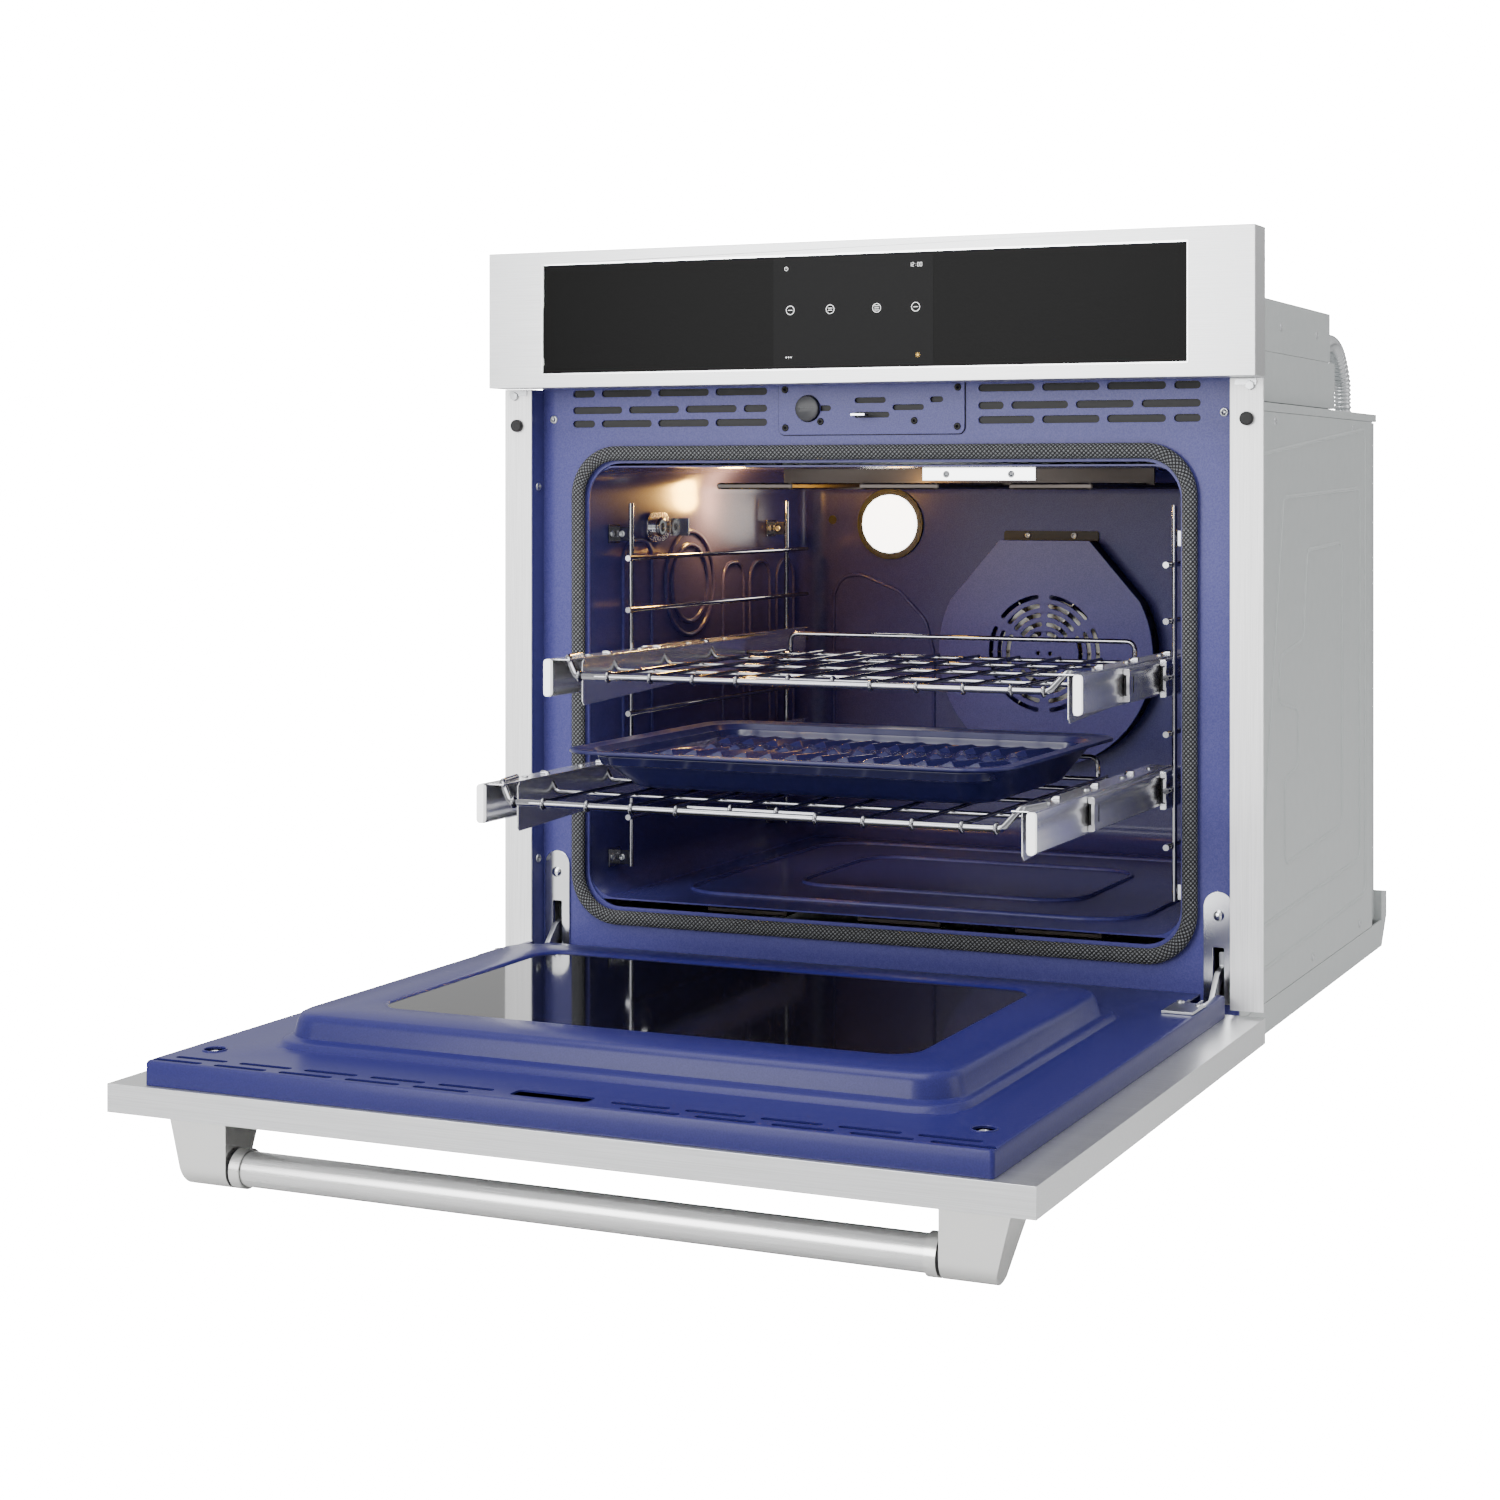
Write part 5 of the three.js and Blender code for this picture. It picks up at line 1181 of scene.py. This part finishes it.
    for member, member_body in (("mid", name + "_mid"), ("fixed", "oven")):
        for side, sign in SIDES:
            node = "rail_" + member + "_" + name + "_" + side
            low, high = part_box(node)
            inner, outer = (low[0], high[0]) if sign > 0 else (high[0], low[0])
            height, middle_z = high[2] - low[2], (high[2] + low[2]) / 2
            strip = channel("member", inner, outer, middle_z, height, low[1], high[1])
            middle_x = (inner + outer) / 2
            jaw_z = height / 2 - 3 * MM
            jaws = [rounded(middle_x, z, 5.4 * MM, 5 * MM, 1.5 * MM)
                    for z in (middle_z + jaw_z, middle_z - jaw_z)]
            retainer = [sheet("jaw", [jaw], "xz", low[1] - 0.8 * MM, low[1] + 7 * MM) for jaw in jaws]
            web = rounded(middle_x + sign * 1.4 * MM, middle_z, 2.6 * MM, height * 0.62, 1 * MM)
            retainer.append(sheet("web", [web], "xz", low[1] - 0.8 * MM, low[1] + 10 * MM))
            for piece in retainer:
                round_edges(piece, 0.4 * MM, 2, 40)
            fit(joined([strip] + retainer), node + "_channel", slide_steel, "slide_steel", member_body,
                node)
            pad = sheet("pad", [rounded(middle_x, middle_z, 4.6 * MM, height * 0.66, 1 * MM)], "xz",
                        low[1] + 0.6 * MM, low[1] + 14 * MM)
            fit(pad, node + "_pad", slide_dark, "black_plastic", member_body)


# ---- Broiler pan ----
# An enamelled steel pan drawn in one piece: sloping walls, large corner radii, and a wide rim with a
# rolled edge. It stands on the lower rack.
def loft(name, rings, closed=True):
    """A solid skinned over rings of equal length, with flat ends unless it is closed on itself."""
    count = len(rings[0])
    verts = [point for ring in rings for point in ring]
    faces = []
    spans = len(rings) if closed else len(rings) - 1
    for i in range(spans):
        a, b = i * count, (i + 1) % len(rings) * count
        faces += [(a + k, a + (k + 1) % count, b + (k + 1) % count, b + k) for k in range(count)]
    if not closed:
        faces += [tuple(reversed(range(count))), tuple(range((len(rings) - 1) * count, len(rings) * count))]
    mesh = bpy.data.meshes.new(name)
    mesh.from_pydata(verts, [], faces)
    piece = bpy.data.objects.new(name, mesh)
    bpy.context.collection.objects.link(piece)
    edit_all(piece, OUTWARD)
    smooth(piece, 42)
    return piece


pan_low, pan_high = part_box("broiler_pan")
pan_y = (pan_low[1] + pan_high[1]) / 2
pan_w, pan_l = pan_high[0] - pan_low[0], pan_high[1] - pan_low[1]
pan_floor, pan_top = pan_low[2], pan_high[2]


def pan_ring(inset_x, inset_front, inset_back, radius, z):
    """One level of the pan: a rounded rectangle set in from the rim by different amounts."""
    length = pan_l - inset_front - inset_back
    middle = pan_y + (inset_front - inset_back) / 2
    return [(u, v, z) for u, v in rounded(0, middle, pan_w - 2 * inset_x, length, radius, 8)]


def pan_wall(grow, levels):
    """The rings of the pan's wall, from the floor up, set in by `grow` for its inner face."""
    rings = []
    for share, z in levels:
        rings.append(pan_ring((36 - 22 * share) * MM + grow, (58 - 42 * share) * MM + grow,
                              (44 - 24 * share) * MM + grow, (30 + 6 * share) * MM, z))
    return rings


outside = pan_wall(0,
                   [(-0.16, pan_floor), (-0.05, pan_floor + 1.6 * MM), (0.05, pan_floor + 5 * MM),
                    (0.96, pan_top - 5 * MM), (1, pan_top - 3.4 * MM)])
rim = [pan_ring(2.5 * MM, 2.5 * MM, 2.5 * MM, 38 * MM, pan_top - 3.2 * MM),
       pan_ring(0.4 * MM, 0.4 * MM, 0.4 * MM, 38 * MM, pan_top - 3.4 * MM),
       pan_ring(0, 0, 0, 38 * MM, pan_top - 2.2 * MM),
       pan_ring(0.6 * MM, 0.6 * MM, 0.6 * MM, 38 * MM, pan_top - 0.7 * MM),
       pan_ring(2.4 * MM, 2.4 * MM, 2.4 * MM, 37 * MM, pan_top - 0.4 * MM),
       pan_ring(5 * MM, 5 * MM, 5 * MM, 36 * MM, pan_top - 1.7 * MM)]
inside = pan_wall(1.5 * MM,
                  [(1, pan_top - 1.8 * MM), (0.93, pan_top - 4.4 * MM), (0.05, pan_floor + 6 * MM),
                   (-0.05, pan_floor + 3 * MM), (-0.16, pan_floor + 1.8 * MM)])
pan = loft("pan", outside + rim + inside, False)
pan_enamel = start_material("smooth dark blue enamel", "#22224e", 0.3, 0.0,
                            {"Specular IOR Level": 0.25, "Coat Weight": 0.1, "Coat Roughness": 0.08})[0]
fit(pan, "pan", pan_enamel, "blue_enamel", "lower_rack", "broiler_pan")


# ---- Pan grid ----
# A shallow enamelled insert with a rolled edge, pressed into rows of slanting sharp-topped ridges with
# drain slots between them. Its glossy coat mirrors the warm lamp.
grid_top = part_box("pan_grid")[1][2]
plate_rings = [pan_ring(24 * MM, 24 * MM, 30 * MM, 26 * MM, grid_top - 3 * MM),
               pan_ring(20 * MM, 20 * MM, 26 * MM, 30 * MM, grid_top + 5 * MM),
               pan_ring(21.4 * MM, 21.4 * MM, 27.4 * MM, 29 * MM, grid_top + 5.6 * MM),
               pan_ring(26 * MM, 26 * MM, 32 * MM, 25 * MM, grid_top - 1.6 * MM)]
tray = loft("tray", plate_rings, False)
ridges, slots = [], []
ROWS = (-88, -30, 28, 86)
for row, v in enumerate(ROWS):
    for k in range(-6, 7):
        lean = 9 if (row % 2) else -9
        x0, y0 = k * 25 * MM, pan_y + v * MM
        half_w, half_l, rise = 9.5 * MM, 22 * MM, 5.4 * MM
        base = grid_top - 2 * MM
        shift = lean * MM
        foot = [(x0 - half_w - shift, y0 - half_l, base), (x0 + half_w - shift, y0 - half_l, base),
                (x0 + half_w + shift, y0 + half_l, base), (x0 - half_w + shift, y0 + half_l, base)]
        crest = [(x0 - 1.4 * MM - shift * 0.7, y0 - half_l * 0.72, base + rise),
                 (x0 + 1.4 * MM - shift * 0.7, y0 - half_l * 0.72, base + rise),
                 (x0 + 1.4 * MM + shift * 0.7, y0 + half_l * 0.72, base + rise),
                 (x0 - 1.4 * MM + shift * 0.7, y0 + half_l * 0.72, base + rise)]
        ridges.append(loft("ridge", [foot, crest], False))
        slots.append(block("slot", (x0 + 10.6 * MM, y0 - 12 * MM, grid_top - 1.7 * MM),
                           (x0 + 13.4 * MM, y0 + 12 * MM, grid_top - 1.4 * MM)))
whole = joined([tray] + ridges)
round_edges(whole, 0.7 * MM, 2, 30)
grid_enamel = start_material("glossy dark blue enamel", "#20204a", 0.16, 0.0,
                             {"Coat Weight": 0.4, "Coat Roughness": 0.1})[0]
fit(whole, "grid", grid_enamel, "blue_enamel", "lower_rack", "pan_grid")
# The drain slots are thin dark strips: painted shade where the slots open.
fit(joined(slots), "grid_slots", dark_and_shade_paint, "black_plastic", "lower_rack")


# ---- Temperature-probe socket and its flap ----
# A pressed steel plate on the left wall with a round threaded socket, and a small flap on a knuckle.
probe_low, probe_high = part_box("probe_socket")
socket = softened("probe_socket", 0.4 * MM)
fit(socket, "probe_plate", bright_steel, "chromed_wire", "oven", "probe_socket")
socket_y = (probe_low[1] + probe_high[1]) / 2 - 6 * MM
socket_z = (probe_low[2] + probe_high[2]) / 2
bpy.ops.mesh.primitive_torus_add(major_radius=8 * MM, minor_radius=2 * MM, major_segments=28,
                                 minor_segments=10)
thread = copies(bpy.context.object, [facing((probe_high[0] - 2.3 * MM, socket_y, socket_z), (1, 0, 0))])
alone(thread)
bpy.ops.object.shade_smooth()
fit(thread, "probe_collar", chrome, "chromed_wire", "oven")
dress("probe_cover", 0.4 * MM, "probe_flap_plate", bright_steel, "chromed_wire", "probe_flap")


# ---- Door hinges ----
# Each receiver is a bright round-topped plate with one domed rivet and a slot for the arm. The arms
# and the door's hinge bodies are plain plated steel, with two screws on each body.
for side, sign in SIDES:
    low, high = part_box("hinge_receiver_" + side)
    inner, outer = sorted((abs(low[0]), abs(high[0])))
    middle, half = (inner + outer) / 2, (outer - inner) / 2
    edge = [(sign * (middle + half), low[2]), (sign * (middle + half), high[2] - half)]
    edge += [(sign * (middle + half * math.cos(k * math.pi / 14)),
              high[2] - half + half * math.sin(k * math.pi / 14)) for k in range(1, 14)]
    edge += [(sign * (middle - half), high[2] - half), (sign * (middle - half), low[2])]
    slot_foot = low[2] + 2 * MM
    slot_loop = rounded(sign * ARM_X, (slot_foot + ARM_SLOT[1]) / 2, 10 * MM, ARM_SLOT[1] - slot_foot,
                        0.8 * MM, 2)
    receiver = sheet("receiver", [edge, slot_loop], "xz", low[1], high[1])
    round_edges(receiver, 0.4 * MM, 2, 40)
    fit(receiver, "hinge_plate_" + side, bright_steel, "chromed_wire", "oven", "hinge_receiver_" + side)
    bpy.ops.mesh.primitive_uv_sphere_add(segments=24, ring_count=12, radius=5 * MM)
    rivet = bpy.context.object
    rivet.scale = (1, 1, 0.55)
    alone(rivet)
    bpy.ops.object.transform_apply(location=False, rotation=False, scale=True)
    bpy.ops.object.shade_smooth()
    rivet = copies(rivet, [facing((sign * 332 * MM, low[1], 119.5 * MM), (0, -1, 0))])
    fit(rivet, "hinge_rivet_" + side, bright_steel, "chromed_wire", "oven")
    dress("hinge_arm_" + side, 0.5 * MM, "arm_" + side, screw_steel, "chromed_wire")
    dress("hinge_body_" + side, 0.3 * MM, "hinge_box_" + side, screw_steel, "chromed_wire", "door")
    body_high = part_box("hinge_body_" + side)[1]
    seat = body_high[2]
    spots = [facing((sign * x * MM, body_high[1] - y * MM, seat), (0, 0, 1))
             for x, y in ((322, 52), (341, 62))]
    screws("hinge_screws_" + side, 3.6 * MM, 2 * MM, spots, "door")


# ---- Door skin and outer glass ----
# A folded stainless tray with level brush marks, and the outer glass set in its face. With the door
# open, only the tray's edges show.
dress("door_skin", 0.8 * MM, "door_tray", steel_level, "brushed_steel", "door")
dress("door_outer_glass", 0.5 * MM, "door_pane_outer", black_glass, "black_glass", "door")


# ---- Door inner panel ----
# One enamelled pressing: a flat border, a low step, and a raised middle with soft shoulders round the
# window. Two rows of long slots and the latch slot run along its front edge.
panel_low, panel_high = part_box("door_inner_panel")
window_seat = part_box("door_inner_glass")[1][2]
flat_z = 56.6 * MM
plug_top = panel_high[2]
panel_middle_y = (panel_low[1] + panel_high[1]) / 2
edge = rounded(0, panel_middle_y, panel_high[0] - panel_low[0], panel_high[1] - panel_low[1], 3 * MM, 8)
front_edge = panel_low[1] - 5.1 * MM


def door_loop(start, width, length, radius, z):
    """A rounded rectangle on the door, `start` behind its front edge."""
    return [(u, v, z) for u, v in rounded(0, front_edge + start + length / 2, width, length, radius, 8)]


def edge_ring(share_x, share_y, z):
    """The panel's edge at a height, drawn in towards its middle by a share of its size."""
    return [(u * (1 - share_x), panel_middle_y + (v - panel_middle_y) * (1 - share_y), z) for u, v in edge]


window_w, window_l = 458 * MM, 261 * MM
levels = [
    edge_ring(0, 0, panel_low[2]),
    edge_ring(0, 0, flat_z - 2.5 * MM),
    edge_ring(0.0022, 0.0027, flat_z - 0.7 * MM),
    edge_ring(0.0072, 0.0089, flat_z),
    door_loop(70 * MM, 592 * MM, 400 * MM, 42 * MM, flat_z),
    door_loop(74 * MM, 584 * MM, 392 * MM, 38 * MM, flat_z + 0.8 * MM),
    door_loop(76.5 * MM, 579 * MM, 387 * MM, 36 * MM, flat_z + 4.4 * MM),
    door_loop(78.5 * MM, 575 * MM, 383 * MM, 35 * MM, flat_z + 5.6 * MM),
    door_loop(82 * MM, 572 * MM, 366 * MM, 34 * MM, flat_z + 6 * MM),
    door_loop(86 * MM, 568 * MM, 356 * MM, 32 * MM, flat_z + 7.6 * MM),
    door_loop(89 * MM, 562 * MM, 350 * MM, 30 * MM, plug_top - 6 * MM),
    door_loop(91 * MM, 558 * MM, 346 * MM, 29 * MM, plug_top - 2 * MM),
    door_loop(95 * MM, 550 * MM, 338 * MM, 26 * MM, plug_top - 0.1 * MM),
    door_loop(138 * MM, window_w + 12 * MM, window_l + 12 * MM, 28 * MM, plug_top),
    door_loop(141 * MM, window_w + 5 * MM, window_l + 6 * MM, 25 * MM, plug_top - 0.8 * MM),
    door_loop(144 * MM, window_w, window_l, 22 * MM, plug_top - 3 * MM),
    door_loop(144 * MM, window_w, window_l, 22 * MM, window_seat),
]
shell_ring = [[(x, y, z - 1.4 * MM) for x, y, z in level] for level in levels[3:-1]]
inner_side = [edge_ring(0.006, 0.007, z) for z in (panel_low[2], flat_z - 1.4 * MM)]
pressing = loft("pressing", levels + list(reversed(shell_ring[1:])) + list(reversed(inner_side)), True)
LATCH_Y = FRONT + (11 - (560.4 - 26)) * MM
SCREW_X, SCREW_Y = 320 * MM, front_edge + 56 * MM
bite = ("xy", flat_z - 4 * MM, flat_z + 3 * MM)
tool = [sheet("latch", [rounded(0, LATCH_Y, 64 * MM, 16 * MM, 4 * MM)], *bite)]
for row, y in enumerate((LATCH_Y - 13 * MM, LATCH_Y - 0.5 * MM)):
    for k in range(5):
        start = (48 + 59 * k + (0 if row else 14)) * MM
        for sign in (-1, 1):
            slot = rounded(sign * (start + 24 * MM), y, 47 * MM, 6 * MM, 2.99 * MM, 5)
            tool.append(sheet("slot", [slot], *bite))
for sign in (-1, 1):
    tool.append(sheet("pit", [disc(sign * SCREW_X, SCREW_Y, 8.5 * MM, 28)], *bite))
    low_x, high_x = sorted((sign * 324 * MM, sign * 339 * MM))
    tool.append(block("notch", (low_x, FRONT - 36 * MM, panel_low[2] - 2 * MM),
                      (high_x, panel_high[1] + 5 * MM, flat_z + 5 * MM)))
cut(pressing, joined(tool))
smooth(pressing, 42)
# A darker copy of the frame's blue enamel: the extra darkness is painted shade on the open door's inner face.
door_enamel_painted_shade = enamel("blue porcelain enamel, door, darkened as painted shade", "#232260", "#1e1d56", 0.32)
fit(pressing, "door_pressing", door_enamel_painted_shade, "blue_enamel", "door", "door_inner_panel")
# A dark sheet under the door's slots, painted shade so the openings read dark.
vent_floor = sheet("shade", [rounded(0, front_edge + 45 * MM, 660 * MM, 60 * MM, 3 * MM)], "xy",
                   flat_z - 9 * MM, flat_z - 8 * MM)
fit(vent_floor, "door_vent_shade", dark_and_shade_paint, "black_plastic", "door")
spots = [facing((sign * SCREW_X, SCREW_Y, flat_z - 2.6 * MM), (0, 0, 1)) for sign in (-1, 1)]
screws("door_panel_screws", 5.6 * MM, 2.6 * MM, spots, "door")
cups = []
for sign in (-1, 1):
    rim = [(u, v, flat_z) for u, v in disc(sign * SCREW_X, SCREW_Y, 9 * MM, 28)]
    cups.append(wire("cup", rim, 0.9 * MM, 0, 8, True))
fit(joined(cups), "door_screw_cups", door_enamel_painted_shade, "blue_enamel", "door")
smoked = start_material("smoked window glass", "#08080b", 0.06, 0.0, {"Specular IOR Level": 0.35})[0]
dress("door_inner_glass", 0.3 * MM, "window", smoked, "dark_glass", "door")


# ---- Door handle ----
# A thick satin bar between two tapering posts. A ring stands at each end of the bar, and a dark neck
# between it and the post is painted shade in the gap.
satin = brushed("satin stainless handle steel", "#ececec", 0, (0.22, 0.3))
cast_steel = start_material("satin cast steel", "#e4e4e2", 0.24, 0.95)[0]
bar_low, bar_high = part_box("handle_bar")
bar_y, bar_z = (bar_low[1] + bar_high[1]) / 2, (bar_low[2] + bar_high[2]) / 2
bar_radius = (bar_high[2] - bar_low[2]) / 2
bpy.ops.mesh.primitive_cylinder_add(vertices=72, radius=bar_radius, depth=bar_high[0] - bar_low[0],
                                    location=(0, bar_y, bar_z), rotation=(0, math.pi / 2, 0))
grip = bpy.context.object
bpy.ops.object.transform_apply(location=True, rotation=True, scale=True)
round_edges(grip, 0.6 * MM, 2, 50)
fit(grip, "grip", satin, "polished_steel", "door", "handle_bar")


def collar(name, radius, start, end):
    """A flat ring round the bar, between two places along it."""
    outline = disc(bar_y, bar_z, radius, 64)
    return sheet(name, [outline, disc(bar_y, bar_z, bar_radius + 0.6 * MM, 64)], "yz", start, end)


for side, sign in SIDES:
    low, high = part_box("handle_post_" + side)
    reach = bar_radius + 2 * MM
    top = high[2]
    inner, outer = 294.5 * MM, 349.5 * MM
    front_y = bar_y - reach
    profile = [(front_y, top)]
    for k in range(20):
        turn = math.pi + math.pi * 0.72 * k / 19
        profile.append((bar_y + reach * math.cos(turn), bar_z + reach * math.sin(turn)))
    start_curve, end_curve = profile[-1], (bar_y + reach + 18 * MM, top)
    control = (bar_y + reach + 4 * MM, bar_z + 14 * MM)
    for k in range(1, 13):
        t = k / 12
        profile.append(tuple(start_curve[i] * (1 - t) ** 2 + 2 * control[i] * t * (1 - t)
                             + end_curve[i] * t * t for i in (0, 1)))
    low_x, high_x = sorted((sign * inner, sign * outer))
    post = sheet("post", [profile], "yz", low_x, high_x)
    taper = [(outer + 0.01 * MM, top + 1 * MM), (outer + 12 * MM, top + 1 * MM),
             (outer + 12 * MM, bar_z - 22 * MM), (outer - 17 * MM, bar_z - 22 * MM)]
    ends = [[(sign * x, y, z) for x, z in taper] for y in (front_y - 12 * MM, bar_y + 60 * MM)]
    cut(post, loft("wedge", ends, False))
    bpy.ops.mesh.primitive_cylinder_add(vertices=64, radius=bar_radius + 0.5 * MM, depth=16 * MM,
                                        location=(sign * inner, bar_y, bar_z), rotation=(0, math.pi / 2, 0))
    cut(post, bpy.context.object)
    round_edges(post, 1.2 * MM, 3, 40)
    ring = collar("ring", reach, *sorted((sign * (inner - 11.5 * MM), sign * (inner - 2.5 * MM))))
    round_edges(ring, 0.6 * MM, 2, 40)
    # The neck is painted shade: a near-black collar in the gap between ring and post.
    neck = collar("neck", reach - 1.4 * MM, *sorted((sign * (inner - 3 * MM), sign * (inner + 1 * MM))))
    fit(joined([post, ring]), "post_" + side, cast_steel, "polished_steel", "door", "handle_post_" + side)
    fit(neck, "post_gap_painted_shade_" + side, dark_and_shade_paint, "black_plastic", "door")


# ---- Cooling blower ----
# A squirrel-cage wheel: a disc, a hub, and a ring of short slanting blades that carries the rim.
wheel_low, wheel_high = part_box("blower_wheel")
wheel_x, wheel_y = (wheel_low[0] + wheel_high[0]) / 2, (wheel_low[1] + wheel_high[1]) / 2
wheel_r = (wheel_high[0] - wheel_low[0]) / 2
z0, z1 = wheel_low[2], wheel_high[2] - 3 * MM
rim = [disc(wheel_x, wheel_y, radius, 64) for radius in (wheel_r, wheel_r - 9 * MM)]
pieces = [sheet("disc", rim[:1], "xy", z0, z0 + 1.6 * MM),
          sheet("rim", rim, "xy", z1 - 1.6 * MM, z1),
          sheet("hub", [disc(wheel_x, wheel_y, 9 * MM, 32)], "xy", z0, wheel_high[2])]
vane_at = wheel_r - 5 * MM
vane = sheet("vane", [rounded(vane_at, 0, 8 * MM, 1 * MM, 0.4 * MM, 2)], "xy", z0 + 1 * MM, z1 - 1 * MM)
BLADES = 36
lean = Matrix.Translation((vane_at, 0, 0)) @ Matrix.Rotation(math.radians(38), 4, "Z")
lean = lean @ Matrix.Translation((-vane_at, 0, 0))
places = []
for k in range(BLADES):
    turn = Matrix.Rotation(k * math.tau / BLADES, 4, "Z")
    places.append(Matrix.Translation((wheel_x, wheel_y, 0)) @ turn @ lean)
pieces.append(copies(vane, places))
fit(joined(pieces), "blower_cage", galvanised, "galvanised_steel", "blower", "blower_wheel")


size = {"cad": [list(map(float, corner)) for corner in cad_box]}
size["visual"] = [list(map(float, corner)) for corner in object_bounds()]
